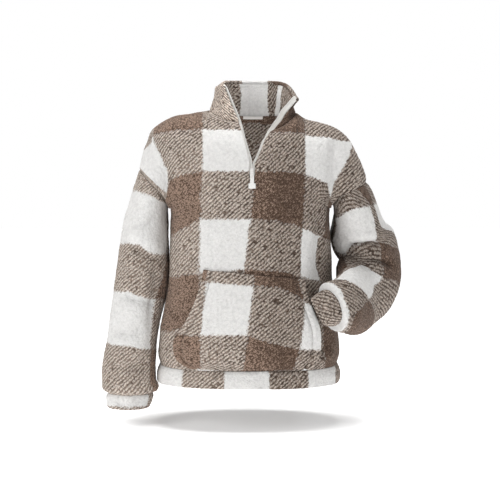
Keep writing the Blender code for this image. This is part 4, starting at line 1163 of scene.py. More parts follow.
# Rings of the bent sleeve and its cuff, in one run: down to the elbow, round it, and along the forearm.
def bentTables():
    outer, inner = armholeEnds(1)
    sleeve = np.concatenate([leftSleeveRings, elbowRings(), leftForearmRings])
    rings = np.concatenate([sleeve, leftCuffRings])
    middles = rings[:, :3].copy()
    directions = unit(rings[:, 3:6])
    middles[0] = (outer + inner) / 2
    directions[0] = unit(np.cross((0, 1, 0), outer - inner))
    across = transported(directions, outer - inner)
    frontward = np.cross(directions, across)
    frontward *= np.sign(-frontward[0, 1])
    longWay = rings[:, 6:9] - (rings[:, 6:9] * directions).sum(axis=-1, keepdims=True) * directions
    longWay = unit(longWay)
    wideWay = np.cross(directions, longWay)

    def stretched(way):
        lengthwise = (way * longWay).sum(axis=-1) * rings[:, 9]
        widthwise = (way * wideWay).sum(axis=-1) * rings[:, 10]
        return lengthwise[:, None] * longWay + widthwise[:, None] * wideWay

    halfLongs, halfDeeps = stretched(across), stretched(frontward)
    halfLongs[0] = (outer - inner) / 2
    halfDeeps[0] = (0, -armholeDepth, 0)
    seam = len(sleeve)
    return ([table[:seam] for table in (middles, halfLongs, halfDeeps)],
            [table[seam - 1:] for table in (middles, halfLongs, halfDeeps)])


# Squares round and down a sleeve from its marks, and places on its cloth; way turns them with the
# wearer's side.
def sleeveSquares(marks, way):
    def squares(points, run, angles, at):
        degrees = np.degrees(angles)
        around, down = np.empty(run.shape), np.empty(run.shape)
        first = marks["first"]
        for j, place in enumerate(at):
            ends = np.array([lineAt(column, place) for column in marks["columns"]])
            counts = first + np.arange(len(ends))
            ends = np.concatenate([[ends[0] - 360], ends, [ends[-1] + 360]])
            counts = np.concatenate([[counts[0] - 4], counts, [counts[-1] + 4]])
            around[:, j] = np.interp(degrees, ends, counts)
        for i, turn in enumerate(degrees):
            ends = np.array([lineAt(row, turn) for row in marks["rows"]])
            ends = np.concatenate([[ends[0] - sleeves["beyond"]], ends, [ends[-1] + sleeves["beyond"]]])
            down[i] = np.interp(at, ends, np.concatenate([[-1], np.arange(1, len(ends) - 1), [len(ends)]]))
        return onSleeve(points, run, around, down, way)
    return squares


# Places on a sleeve's cloth: round it from the middle of the front, and up.
def onSleeve(points, run, around, down, way):
    arc = runLength(points, 0)
    arc = arc - arc[sleeves["columns"] // 4]
    return np.stack([around, down, way * arc, run[:, -1:] - run], axis=-1)


# A cuff's squares: one count all round or two, and rows from "first" down.
def cuffSquares(column, first, way):
    def squares(points, run, angles, at):
        around = np.broadcast_to(lineAt(column, np.degrees(angles))[:, None], run.shape)
        down = np.broadcast_to((first + at / cloth["check"])[None], run.shape)
        return onSleeve(points, run, around, down, way)
    return squares


band = {
    "rows": 20, "first": 3.3, "rollSpace": 0.0012, "fat": 0.001,
    "columnMarks": ((-0.27, -3), (-0.165, -2), (-0.066, -1), (0.041, 0), (0.1335, 1), (0.200, 2), (0.30, 3)),
}


# The hem band, once round the body, its lower edge rolled.
def hemPatch():
    columns = panelAcross
    heights = np.linspace(hemSeam - seamHalf, hemBottom + band["rollSpace"], band["rows"] + 1)
    points, normals = [], []
    turns = ((-1, -1, columns[:-1]), (-1, 1, columns[:0:-1]), (1, 1, columns[:-1]), (1, -1, columns[:0:-1]))
    for side, face, places in turns:
        across, height = np.broadcast_arrays(places[:, None], heights[None, :])
        x, y = ringQuarter(side, face, across, height)
        points.append(np.stack([x, y, height], axis=-1))
        normals.append(ringNormal(side, face, across, height))
    points, normals = np.concatenate(points), np.concatenate(normals)
    marks = np.array(band["columnMarks"], float)
    x, y = points[..., 0], points[..., 1]
    around = np.where(y < 0, np.interp(x, marks[:, 0], marks[:, 1]), x / cloth["check"])
    down = runLength(points, 1)
    middle = band["rows"] // 2
    arc = np.broadcast_to(runLength(points, 0)[:, middle:middle + 1], around.shape)
    squares = np.stack([around, band["first"] + down / cloth["check"], -arc, -down], axis=-1)
    points = folded(points, normals, bodyFolds["front"] + bodyFolds["back"])
    return rollEdge(clothPatch(points, normals, squares, dip=seamDip(down), fat=band["fat"]))


# Squares on the collar: counts at distances round it from the middle of the back; inner and outer layer.
collar = {
    "rows": 40, "upTo": 0.985, "first": 1.12, "height": 0.09,
    "sagAt": -0.089, "sagWidth": 0.013, "sag": 0.015,
    "turnReach": 0.008, "facingRise": 0.972, "facingEnd": 0.0024, "facingSeam": 0.6, "facingPile": 0.8,
    "topstitch": 0.011, "stitchDepth": 0.0010, "stitchWidth": 0.0018,
    "paintedLightTo": -0.05, "paintedLightOver": 0.05, "paintedLight": 3.2,  # painted light: the pile mask is raised on the wearer's right
    "shade": 0.9, "shadeReach": 0.004,  # painted shade on the facing at its seam, and painted light on it at the wearer's left
    "litFrom": 0.08, "litOver": 0.04,
    "innerMarks": (
        (-0.40, -3.9), (-0.25, -2.9), (-0.130, -1.95), (-0.037, -1), (0.0545, 0), (0.103, 1.0),
        (0.132, 2), (0.27, 2.95), (0.40, 3.9),
    ),
    "innerLow": (
        (-0.40, -3.9), (-0.25, -2.9), (-0.130, -1.95), (-0.0325, -1), (0.046, 0), (0.0590, 1.0),
        (0.0700, 2), (0.27, 2.95), (0.40, 3.9),
    ),
    "innerSkew": ((0.075, 0), (0.115, -0.21), (0.20, -0.25)),
    "outerMarks": (
        (-0.40, -1.98), (-0.27, -1.97), (-0.13, -1.9), (-0.0305, -1), (0.052, 0), (0.16, 0.95), (0.28, 0.9),
    ),
    "outerSkew": ((-0.30, 0), (0.05, 0), (0.17, -1.15), (0.30, -1.15)),
}


# The collar's points, from the right front end over the back to the left one, and the places on one side.
def collarGridPoints(rows, end):
    places = np.concatenate([[0, 0.004, 0.011, 0.020], np.linspace(0.032, 2, 125)])
    ups = end * np.linspace(0, 1, rows + 1)
    grids = []
    for side, order in ((-1, places), (1, places[-2::-1])):
        grids.append(collarPoint(side, order[:, None], ups[None, :]))
    return np.concatenate(grids), places


# The collar's outer layer, its rim rolled, with the surface that its inner layer follows.
def collarPatches():
    points, places = collarGridPoints(collar["rows"], collar["upTo"])
    neck = np.concatenate([neckNormal(-1, places), neckNormal(1, places[-2::-1])])
    middle = len(places) - 1
    run, along = runLength(points, 1), runLength(points, 0)
    along = along[:, :1] - along[middle, 0]
    sag = nearness(points[:, -1:, 0] - collar["sagAt"], collar["sagWidth"]) * (run / run[:, -1:]) ** 2
    points[..., 2] -= collar["sag"] * sag

    def turned(grid):
        normals = gridNormals(grid)
        outward = grid - np.array([0, 0.0, 0.04])
        outward[..., 2] = 0
        normals = normals * np.sign((normals * outward).sum())
        return unit(blended(normals, neck[:, None], nearness(run, collar["turnReach"])[..., None]))

    normals = turned(points)
    points = folded(points, normals, collarFolds)
    normals = turned(points)
    squares = collarSquares(collar["outerMarks"], along, run)
    squares[..., 1] += lineAt(collar["outerSkew"], along)
    outer = clothPatch(points, normals, squares, edge=roundOff(fromEnds(points)), dip=seamDip(run))
    # painted light on the collar's outer layer at the wearer's right
    outer["pile"] += collar["paintedLight"] * ease((collar["paintedLightTo"] - along) / collar["paintedLightOver"])
    outer = rollEdge(outer, sink=facingGap + cloth["wall"])
    return outer, points, normals, run, along


# Squares on the collar from its marks at the rim and, where they differ, at the seam.
def collarSquares(marks, along, run, low=None):
    high, low = np.array(marks, float), np.array(low or marks, float)
    share = np.mean(run / run[:, -1:], axis=0)
    lines = [high * part + low * (1 - part) for part in share]
    across = np.stack([lineAt(line, along[:, 0]) for line in lines], axis=-1)
    down = collar["first"] + (collar["height"] - run) / cloth["check"]
    return np.stack([across, down, np.broadcast_to(along, run.shape), run], axis=-1)


# The collar's inner layer, which stops short of the zip's tapes and of the rolled rim.
def facingPatch(points, normals, run, along):
    rows = collar["rows"]
    at = np.linspace(0, rows * collar["facingRise"], rows + 1)
    low = np.minimum(at.astype(int), rows - 1)
    part = (at - low)[None, :, None]
    grid = points[:, low] * (1 - part) + points[:, low + 1] * part
    ways = unit(normals[:, low] * (1 - part) + normals[:, low + 1] * part)
    runs = run[:, low] * (1 - part[..., 0]) + run[:, low + 1] * part[..., 0]
    fromEnd = np.minimum(along - along[0], along[-1] - along)[:, 0]
    kept = np.flatnonzero(fromEnd >= tapeWidth - tapeShow + collar["facingEnd"])
    kept = kept[(len(kept) - 1) % 4 // 2:]
    kept = kept[:(len(kept) - 1) // 4 * 4 + 1]
    grid, ways, runs, place = grid[kept], ways[kept], runs[kept], along[kept]
    inner = grid - ways * (cloth["wall"] + facingGap)
    squares = collarSquares(collar["innerMarks"], place, runs, collar["innerLow"])
    squares[..., 1] += lineAt(collar["innerSkew"], place)
    fromTop = runs[:, -1:] - runs
    stitched = collar["stitchDepth"] * nearness(fromTop - collar["topstitch"], collar["stitchWidth"])
    # painted shade along the facing's seam, and painted light on its part at the wearer's left
    shade = collar["shade"] * nearness(runs, collar["shadeReach"])
    shade = shade - collar["shade"] * ease((place - collar["litFrom"]) / collar["litOver"])
    dip = seamDip(fromTop) * collar["facingSeam"] + stitched
    return clothPatch(inner, -ways, squares, edge=roundOff(fromEnds(inner)), dip=dip,
                      strength=collar["facingPile"], paintedShade=shade)


# Squares on the pocket: rows by their height at distances across, columns by their place across at heights.
pocket = {
    "lift": 0.0052, "bottom": -0.5960, "band": 0.020, "columns": 140, "edgeColumns": 12, "rows": 120,
    "length": 0.22, "gap": 0.0003, "puff": (0.016, 0.006, 0.014), "foldSteps": (0, 0.02, 0.05, 0.10, 0.17),
    "bandSeam": 1.4, "edgeSeam": 1.5, "stitch": 0.008, "stitchDepth": 0.0012, "stitchWidth": 0.0022,
    "rowMarks": (
        ((-0.20, -0.380), (-0.1075, -0.387), (0.005, -0.395), (0.060, -0.399), (0.0895, -0.410),
         (0.1045, -0.4185), (0.125, -0.434), (0.16, -0.450)),
        ((-0.20, -0.512), (-0.0094, -0.511), (0.030, -0.523), (0.060, -0.532), (0.0888, -0.538),
         (0.1164, -0.544), (0.1637, -0.550)),
    ),
    "columnMarks": (
        ((-0.60, -0.122), (-0.511, -0.122), (-0.387, -0.1075), (-0.35, -0.105)),
        ((-0.5915, -0.021), (-0.511, -0.0117), (-0.395, 0.0047), (-0.355, 0.0047)),
        ((-0.594, 0.098), (-0.544, 0.1146), (-0.466, 0.124), (-0.445, 0.126), (-0.4185, 0.119),
         (-0.38, 0.113)),
    ),
}


# x and height of the pocket's edge on one side, at each share of the way down.
def pocketEdge(side, down):
    line = pocketSides[side]
    z = line[0, 0] + (pocket["bottom"] - line[0, 0]) * down
    return smoothCurve(-line[:, 0], line[:, 1], -z), z


# Where the pocket's cloth lies at x, at each share of the way down.
def pocketPoint(x, down):
    xLeft, zLeft = pocketEdge(-1, down)
    xRight, zRight = pocketEdge(1, down)
    share = np.clip((x - xLeft) / (xRight - xLeft), 0, 1)
    z = zLeft + (zRight - zLeft) * share
    ahead, behind = frontDepth(x + 0.001, z), frontDepth(x - 0.001, z)
    lift = pocket["lift"] * np.sqrt(1 + ((ahead - behind) / 0.002) ** 2)
    middle, atRight, atLeft = pocket["puff"]
    puff = middle + atRight * (1 - share) ** 4 + atLeft * share ** 4
    depth = frontDepth(x, z) + lift + np.sin(math.pi * np.clip(down, 0, 1)) ** 0.7 * puff
    return np.stack([x, -depth, z], axis=-1)


# Normals of the pocket's cloth, which faces the front.
def pocketNormals(points):
    normals = gridNormals(points)
    return unit(normals * -np.sign(normals[..., 1:2].mean()))


# Steps from 0 to 1, closer together at the ends, where the cloth's edge rounds off.
def edgeSteps(count, length):
    fine = np.array([0, 0.0005, 0.0013, 0.0024, 0.0038]) / length
    middle = np.linspace(fine[-1], 1 - fine[-1], count - 7)
    return np.concatenate([fine[:-1], middle, 1 - fine[-2::-1]])


# The pocket between its edges, or the turned edge at one of its openings.
def pocketPatch(part):
    down = edgeSteps(pocket["rows"], pocket["length"])
    xLeft, xRight = pocketEdge(-1, down)[0], pocketEdge(1, down)[0]
    gap, fold = pocket["gap"], pocket["foldSteps"]
    steps = np.concatenate([fold, np.linspace(fold[-1], 1, pocket["edgeColumns"] - 3)[1:]])
    if part == "middle":
        starts, ends = xLeft + pocket["band"] + gap, xRight - pocket["band"] - gap
        steps = np.linspace(0, 1, pocket["columns"] + 1)
    elif part == "right":
        starts, ends = xLeft, xLeft + pocket["band"] - gap
    else:
        starts, ends = xRight - pocket["band"] + gap, xRight
        steps = 1 - steps[::-1]
    x = starts[None] + (ends - starts)[None] * steps[:, None]
    points = pocketPoint(x, np.broadcast_to(down[None], x.shape))
    points = folded(points, pocketNormals(points), pocketFolds)
    normals = pocketNormals(points)
    z = points[..., 2]
    columnRun = runLength(points, 1)
    upper, lower = (lineAt(row, x) for row in pocket["rowMarks"])
    down = 3 + (upper - z) / (upper - lower)
    first, middle, last = (lineAt(column, z) for column in pocket["columnMarks"])
    sideways = np.where(x < middle, (x - middle) / (middle - first), (x - middle) / (last - middle))
    squares = np.stack([sideways, down, x, -columnRun], axis=-1)
    edge = roundOff(columnRun) * roundOff(columnRun[:, -1:] - columnRun)
    rowRun = runLength(points, 0)
    if part == "middle":
        dip = (seamDip(rowRun) + seamDip(rowRun[-1:] - rowRun)) * pocket["bandSeam"]
    elif part == "right":
        edge = edge * roundOff(rowRun)
        dip = seamDip(rowRun[-1:] - rowRun) * pocket["edgeSeam"]
    else:
        edge = edge * roundOff(rowRun[-1:] - rowRun)
        dip = seamDip(rowRun) * pocket["edgeSeam"]
    dip = dip + pocket["stitchDepth"] * nearness(columnRun - pocket["stitch"], pocket["stitchWidth"])
    return clothPatch(points, normals, squares, edge=edge, dip=dip)


zipper = {
    "pitch": 0.0021, "height": 0.0011, "reach": 0.0026, "thick": 0.00062,  # of a tooth
    "start": 0.010, "stop": 0.004, "inset": 0.0004, "over": 0.0009, "lift": 0.0001,
    "flat": 0.8, "broad": 1.05, "turns": 6, "sides": 6,
}


opening = {"below": 0.05, "bodySteps": 90, "collarSteps": 46, "rows": 161, "smoothed": 11}


# The opening's edge on one side, from just below the slit over the neckline to the collar's rim: points,
# directions into the cloth and outward directions.
def openingEdge(side):
    ups = np.linspace(1 + slitRise - opening["below"], 2, opening["bodySteps"])[:-1]
    edge = bodyPoint(side, -1, 0.0, ups)
    beside = bodyPoint(side, -1, 0.045, ups)
    ways = bodyNormal(side, -1, 0.02, np.clip(ups, 0, 1.985))
    rises = np.linspace(0, 1, opening["collarSteps"])
    edge = np.concatenate([edge, collarPoint(side, 0.0, rises)])
    beside = np.concatenate([beside, collarPoint(side, 0.06, rises)])
    ways = np.concatenate([ways, collarNormal(side, 0.0, rises)])
    lengths = lengthsAlong(edge)
    at = np.linspace(0, lengths[-1], opening["rows"])
    kernel = np.hanning(opening["smoothed"])
    kernel /= kernel.sum()
    more = opening["smoothed"] // 2

    def even(values):
        values = np.stack([np.interp(at, lengths, values[:, k]) for k in range(3)], axis=-1)
        padded = [np.repeat(values[:1], more, axis=0), values, np.repeat(values[-1:], more, axis=0)]
        padded = np.concatenate(padded)
        smooth = np.stack([np.convolve(padded[:, k], kernel, mode="valid") for k in range(3)], axis=-1)
        smooth[0], smooth[-1] = values[0], values[-1]
        return smooth

    inward = unit(even(unit(beside - edge)))
    ways = even(ways)
    ways = unit(ways - (ways * inward).sum(axis=-1, keepdims=True) * inward)
    return even(edge), inward, ways, at


tape = {
    "wall": 0.0016, "columns": 9, "hiddenTo": 0.006, "hiddenShow": -0.0003,
    "leanFrom": 0.125, "leanOver": 0.040, "leanShow": 0.0125, "leanWay": (-0.75, 0.0, 0.66),
}


# A tape under the opening's edge, standing out past the cloth, from just below the slit to the rim. On the
# left it leans out of the collar in its upper part, so that its face shows.
def zipTape(side):
    edge, inward, ways, at = openingEdge(side)
    lean = ease((at - tape["leanFrom"]) / tape["leanOver"])[:, None] * max(side, 0)
    show = np.where(at < tape["hiddenTo"], tape["hiddenShow"], tapeShow)[:, None]
    show = blended(show, tape["leanShow"], lean)
    level = -(cloth["wall"] + tape["wall"]) / 2 - tapeGap
    seat = edge + ways * level
    toFree = unit(inward * (lean - 1) + np.array(tape["leanWay"]) * lean)
    face = unit(np.cross(np.gradient(seat, axis=0), toFree))
    face = face * np.sign((face[0] * ways[0]).sum())
    across = np.linspace(0, tapeWidth, tape["columns"])
    past = show[None] - across[:, None, None]
    points = seat[None] + np.where(past > 0, toFree[None], -inward[None]) * past
    normals = np.where(past > 0, face[None], ways[None])
    half = tape["wall"] / 2
    outer = points + normals * half
    inner = (points - normals * half)[::4, ::4]
    squares = np.stack(np.broadcast_arrays(across[:, None], at[None], across[:, None], at[None]), axis=-1)
    plain = np.ones(points.shape[:2])
    patch = {
        "outer": outer, "inner": inner, "cloth": squares, "clothIn": squares[::4, ::4], "pile": plain,
        "pileIn": plain[::4, ::4], "flip": facesIn(points, normals),
    }
    return patch, outer[0], -toFree, face, at


# Coil teeth: one bent bead repeated along the tape's free edge, leaning over it.
def zipTeeth(name, side, edge, inward, ways, at, material):
    places = np.arange(zipper["start"], at[-1] - zipper["stop"], zipper["pitch"])
    seat, into, way = (np.stack([np.interp(places, at, table[:, k]) for k in range(3)], axis=-1)
                       for table in (edge, inward, ways))
    into, way = unit(into), unit(way)
    along = unit(np.cross(into, way))
    seat = seat + into * zipper["inset"]
    turns = np.linspace(0, math.pi, zipper["turns"])
    ring = np.linspace(0, 2 * math.pi, zipper["sides"] + 1)[:-1]
    thick = zipper["thick"]
    spineIn = (0.5 - 0.5 * np.cos(turns)) * zipper["reach"] - zipper["over"]
    spineUp = np.sin(turns) * zipper["height"] + zipper["lift"]
    points = []
    for a, b in zip(spineIn, spineUp):
        for turn in ring:
            points.append(seat + into * a + way * (b + thick * zipper["flat"] * math.sin(turn))
                          + along * thick * zipper["broad"] * math.cos(turn))
    points = np.stack(points, axis=1)
    count = len(ring)
    ringNumbers = np.arange(len(turns) * count).reshape(len(turns), count)
    nextNumbers = np.roll(ringNumbers, -1, axis=1)
    corners = [ringNumbers[:-1], nextNumbers[:-1], nextNumbers[1:], ringNumbers[1:]]
    quads = np.stack(corners, axis=-1).reshape(-1, 4)
    caps = [(0, k + 1, k) for k in range(1, count - 1)]
    last = (len(turns) - 1) * count
    caps += [(last, last + k, last + k + 1) for k in range(1, count - 1)]
    caps = np.array(caps)
    offsets = (np.arange(len(places)) * points.shape[1])[:, None, None]
    allQuads = (quads[None] + offsets).reshape(-1, 4)
    allCaps = (caps[None] + offsets).reshape(-1, 3)
    if side < 0:
        allQuads, allCaps = allQuads[:, ::-1], allCaps[:, ::-1]
    flat = points.reshape(-1, 3)
    return meshObject(name, flat, allQuads, allCaps, {"pile": np.ones(len(flat))}, material)


# A copy of a CAD node's mesh, open for editing, its doubles merged.
def opened(node, name):
    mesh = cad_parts[node].data.copy()
    mesh.name = name
    work = bmesh.new()
    work.from_mesh(mesh)
    bmesh.ops.remove_doubles(work, verts=work.verts[:], dist=1e-6)
    return mesh, work


def closed(mesh, work, material, smooth):
    work.to_mesh(mesh)
    work.free()
    mesh.polygons.foreach_set("use_smooth", np.full(len(mesh.polygons), smooth))
    mesh.materials.clear()
    mesh.materials.append(material)
    return linked(mesh.name, mesh)


# A copy of a CAD node with its edges bevelled and its faces smooth.
def bevelled(node, name, width, material):
    mesh, work = opened(node, name)
    bmesh.ops.dissolve_limit(work, angle_limit=math.radians(2), verts=work.verts[:], edges=work.edges[:])
    sharp = [edge for edge in work.edges if edge.is_manifold and edge.calc_face_angle() > math.radians(25)]
    bmesh.ops.bevel(work, geom=sharp, offset=width, segments=3, profile=0.6, affect="EDGES",
                    clamp_overlap=True)
    bmesh.ops.triangulate(work, faces=work.faces[:])
    bmesh.ops.recalc_face_normals(work, faces=work.faces[:])
    return closed(mesh, work, material, True)


label = {"wave": 0.0005, "cuts": 9, "longEdge": 0.003}


# A blank woven label inside the back neck: its CAD solid, with more faces and a little unevenness.
def labelPiece(material):
    mesh, work = opened("label", "wovenLabel")
    longEdges = [edge for edge in work.edges if edge.calc_length() > label["longEdge"]]
    bmesh.ops.subdivide_edges(work, edges=longEdges, cuts=label["cuts"], use_grid_fill=True)
    bmesh.ops.triangulate(work, faces=work.faces[:])
    piece = closed(mesh, work, material, False)
    places = np.empty(len(mesh.vertices) * 3, np.float32)
    mesh.vertices.foreach_get("co", places)
    places = places.reshape(-1, 3).astype(float)
    x, z = places[:, 0], places[:, 2]
    places[:, 1] -= label["wave"] * (0.6 + np.sin(x * 210 + 1.0) * 0.5 + np.sin(z * 520 + x * 90) * 0.3)
    mesh.vertices.foreach_set("co", places.astype(np.float32).ravel())
    mesh.update()
    return piece


# Short ways to add nodes to a tree: a node of a kind, a sum, and mixes of numbers and of colours.
def desk(tree):
    def add(kind, values=(), **settings):
        node = tree.nodes.new("ShaderNode" + kind)
        for key, value in settings.items():
            setattr(node, key, value)
        for place, value in (values.items() if isinstance(values, dict) else enumerate(values)):
            if isinstance(value, bpy.types.NodeSocket):
                tree.links.new(value, node.inputs[place])
            elif value is not None:
                node.inputs[place].default_value = value
        return node

    def calc(operation, *values, clamp=False):
        return add("Math", values, operation=operation, use_clamp=clamp).outputs[0]

    def mixed(share, first, second):
        return add("Mix", {0: share, 2: first, 3: second}).outputs[0]

    def tinted(share, first, second, blend="MIX"):
        return add("Mix", {0: share, 6: first, 7: second}, data_type="RGBA", blend_type=blend).outputs[2]

    return add, calc, mixed, tinted


# The commonest sums: a product, a sum, a difference, and a product with a sum.
def sums(calc):
    return [functools.partial(calc, kind) for kind in ("MULTIPLY", "ADD", "SUBTRACT", "MULTIPLY_ADD")]


def newGroup(name, inputs, outputs):
    group = bpy.data.node_groups.new(name, "ShaderNodeTree")
    for way, sockets in (("INPUT", inputs), ("OUTPUT", outputs)):
        for title, kind in sockets:
            group.interface.new_socket(title, in_out=way, socket_type="NodeSocket" + kind)
    return group, group.nodes.new("NodeGroupInput"), group.nodes.new("NodeGroupOutput")


# Albedos of the two yarns, and the nubs' size in millimetres. A painted sheen lightens the pile from the
# wearer's right (1), toward the key lamp, to the left (0), and is less toward the shoulders.
boucle = {
    "white": (0.80, 0.79, 0.775, 1), "brown": (0.090, 0.055, 0.038, 1), "brownTip": (0.330, 0.228, 0.172, 1),
    "nubLight": (0.69, 0.60, 0.525, 1), "nubMid": (0.42, 0.338, 0.280, 1),
    "nubDark": (0.105, 0.070, 0.052, 1), "nubDusk": (0.37, 0.284, 0.228, 1),
    "nubLength": 5.0, "nubWidth": 3.7, "twill": 42.0, "scatter": 0.78, "strays": 0.965, "lightShare": 0.34,
    "nubFall": 2.7, "nubRound": 1.6, "edgeSteep": 9.0, "waver": 0.07, "waverScale": 34.0,
    "fray": 0.10, "frayScale": 240.0, "drift": 20.0,
    "fibreScale": 520.0, "curlScale": 210.0, "cloudScale": 42.0,
    "paintedSheenFrom": 0.06, "paintedSheenReach": 0.17, "paintedSheenHigh": 0.45, "paintedSheenFall": 12.0, "paintedSheenLow": 1.2,
}


# The group's colour sockets and the values they get.
boucleColours = {
    "White": "white", "Brown": "brown", "Brown Tip": "brownTip", "Nub Light": "nubLight",
    "Nub Mid": "nubMid", "Nub Dark": "nubDark", "Nub Dusk": "nubDusk",
}


# The pile's looks from its squares and its places on the cloth: two colours, and where a light row crosses a
# dark column, nubs of either colour in slanting lines. Gives colour, height and roughness.
def boucleGroup():
    inputs = [("Cloth", "Vector"), ("Weave", "Vector"), ("Place", "Vector"), ("Pile", "Float")]
    inputs += [(colour, "Color") for colour in boucleColours]
    outputs = (("Color", "Color"), ("Height", "Float"), ("Roughness", "Float"))
    group, given, made = newGroup("boucleCheck", inputs, outputs)
    add, calc, mixed, tinted = desk(group)
    times, plus, minus, scaled = sums(calc)
    white, brown, brownTip, nubLight, nubMid, nubDark, nubDusk = (given.outputs[key] for key in boucleColours)
    place = given.outputs["Place"]
    cos, sin = math.cos(math.radians(boucle["twill"])), math.sin(math.radians(boucle["twill"]))
    size = cloth["check"] * 1000
    long, wide = boucle["nubLength"], boucle["nubWidth"]
    square, weave = (add("SeparateXYZ", (given.outputs[key],)) for key in ("Cloth", "Weave"))
    waver = add("TexNoise", {0: place, "Scale": boucle["waverScale"], "Detail": 2.0})
    sway = add("SeparateColor", (waver.outputs["Color"],))
    frayed = add("TexNoise", {0: place, "Scale": boucle["frayScale"], "Detail": 2.0})
    fray = add("SeparateColor", (frayed.outputs["Color"],))

    def roughened(k):
        swayed = times(minus(sway.outputs[k], 0.5), boucle["waver"])
        swayed = plus(square.outputs[k], swayed)
        return scaled(minus(fray.outputs[k], 0.5), boucle["fray"], swayed)

    p, q = roughened(0), roughened(1)
    drift = times(minus(sway.outputs[2], 0.5), boucle["drift"])
    u = scaled(weave.outputs[0], 1000.0, drift)
    v = scaled(weave.outputs[1], 1000.0, drift)
    a = plus(times(u, cos / long), times(v, sin / long))
    b = minus(times(v, cos / wide), times(u, sin / wide))

    def share(at):
        wave = times(calc("SINE", times(at, math.pi)), -boucle["edgeSteep"])
        return plus(wave, 0.5, clamp=True)

    widening = scaled(share(p), -2.0, 1.0)
    widening = times(calc("COSINE", times(b, math.pi)), widening)
    bent = scaled(widening, boucle["lightShare"] / math.pi, b)
    flat = add("CombineXYZ", (a, bent, 0.0))
    cells = add("TexVoronoi", {0: flat.outputs[0], "Scale": 1.0, "Randomness": boucle["scatter"]},
                voronoi_dimensions="2D", feature="F1")
    seat = add("SeparateXYZ", (cells.outputs["Position"],))
    chance = add("SeparateColor", (cells.outputs["Color"],))
    line = calc("FLOORED_MODULO", calc("FLOOR", seat.outputs[1]), 2.0)
    line = calc("ABSOLUTE", minus(line, calc("GREATER_THAN", chance.outputs[0], boucle["strays"])))
    offA, offB = minus(seat.outputs[0], a), minus(seat.outputs[1], bent)
    offU = minus(times(offA, cos * long / size),
                times(offB, sin * wide / size))
    offV = plus(times(offA, sin * long / size), times(offB, cos * wide / size))
    column = share(scaled(offU, 0.6, p))
    row = share(scaled(offV, -0.6, q))
    isMixed = calc("ABSOLUTE", minus(column, row), clamp=True)
    light = mixed(line, row, column)
    fall = times(calc("POWER", cells.outputs["Distance"], boucle["nubRound"]), boucle["nubFall"])
    nub = minus(1.0, fall, clamp=True)
    spot = add("SeparateXYZ", (place,))
    # painted sheen: the pile is painted lighter on the wearer's right, less toward the shoulders
    paintedSheen = calc("DIVIDE", minus(boucle["paintedSheenFrom"], spot.outputs[0]), boucle["paintedSheenReach"], clamp=True)
    high = scaled(spot.outputs[2], boucle["paintedSheenFall"], boucle["paintedSheenLow"], clamp=True)
    paintedSheen = times(paintedSheen, mixed(high, 1.0, boucle["paintedSheenHigh"]))
    fibre = add("TexNoise", {0: place, "Scale": boucle["fibreScale"], "Detail": 3.0, "Roughness": 0.7})
    curl = add("TexNoise", {0: place, "Scale": boucle["curlScale"], "Detail": 3.0, "Roughness": 0.6,
                            "Distortion": 0.6})
    cloud = add("TexNoise", {0: place, "Scale": boucle["cloudScale"], "Detail": 2.0})
    fleck = times(minus(curl.outputs[0], 0.40), 3.4, clamp=True)
    # random lighter tips of the brown pile, with more of them on the wearer's right as painted sheen
    tips = scaled(calc("POWER", chance.outputs[1], 1.8), 1.0, times(fleck, 0.45))
    tips = times(tips, scaled(nub, 1.0, 0.10))
    tips = times(tips, scaled(cloud.outputs[0], 0.8, 0.5))
    tips = times(tips, mixed(paintedSheen, 0.85, 5.6), clamp=True)
    plain = tinted(light, tinted(tips, brown, brownTip), white)
    # the nubs' own light and dark tones, painted lighter on the wearer's right as painted sheen
    bright = scaled(chance.outputs[1], 0.55, 0.45)
    bright = times(bright, mixed(paintedSheen, 0.80, 1.7), clamp=True)
    brightNub = tinted(bright, nubMid, nubLight)
    dusk = calc("POWER", chance.outputs[2], mixed(paintedSheen, 2.3, 0.40))
    duskNub = tinted(dusk, nubDark, nubDusk)
    nubs = tinted(light, duskNub, brightNub)
    colour = tinted(isMixed, plain, nubs)
    # painted shade in the hollows and between the nubs, less on the wearer's right; grain is the fibres' own
    # tone
    hollow = scaled(given.outputs["Pile"], 0.20, 0.84)
    grain = scaled(minus(fibre.outputs[0], 0.5), 0.24, 1.0)
    plainPaintedShade = mixed(light, scaled(nub, 0.40, 0.72), scaled(nub, 0.05, 0.955))
    paintedShade = mixed(isMixed, plainPaintedShade, scaled(nub, 0.55, mixed(paintedSheen, 0.50, 0.62)))
    depth = times(times(hollow, grain), paintedShade)
    shade = add("CombineColor", (depth, depth, depth)).outputs[0]
    colour = tinted(1.0, colour, shade, blend="MULTIPLY")
    fluff = plus(times(curl.outputs[0], 0.60), times(fibre.outputs[0], 0.28))
    relief = plus(times(nub, scaled(isMixed, 0.75, 0.30)), fluff)
    group.links.new(colour, made.inputs["Color"])
    group.links.new(relief, made.inputs["Height"])
    group.links.new(scaled(nub, -0.08, 0.98), made.inputs["Roughness"])
    return group


boucleCheck = boucleGroup()


# A material with a Principled shader whose plain numbers are set on its own sockets.
def newMaterial(name, **numbers):
    material = bpy.data.materials.new(name)
    material.use_nodes = True
    shader = material.node_tree.nodes["Principled BSDF"]
    for key, value in numbers.items():
        shader.inputs[key.replace("_", " ")].default_value = value
    return material, material.node_tree, shader


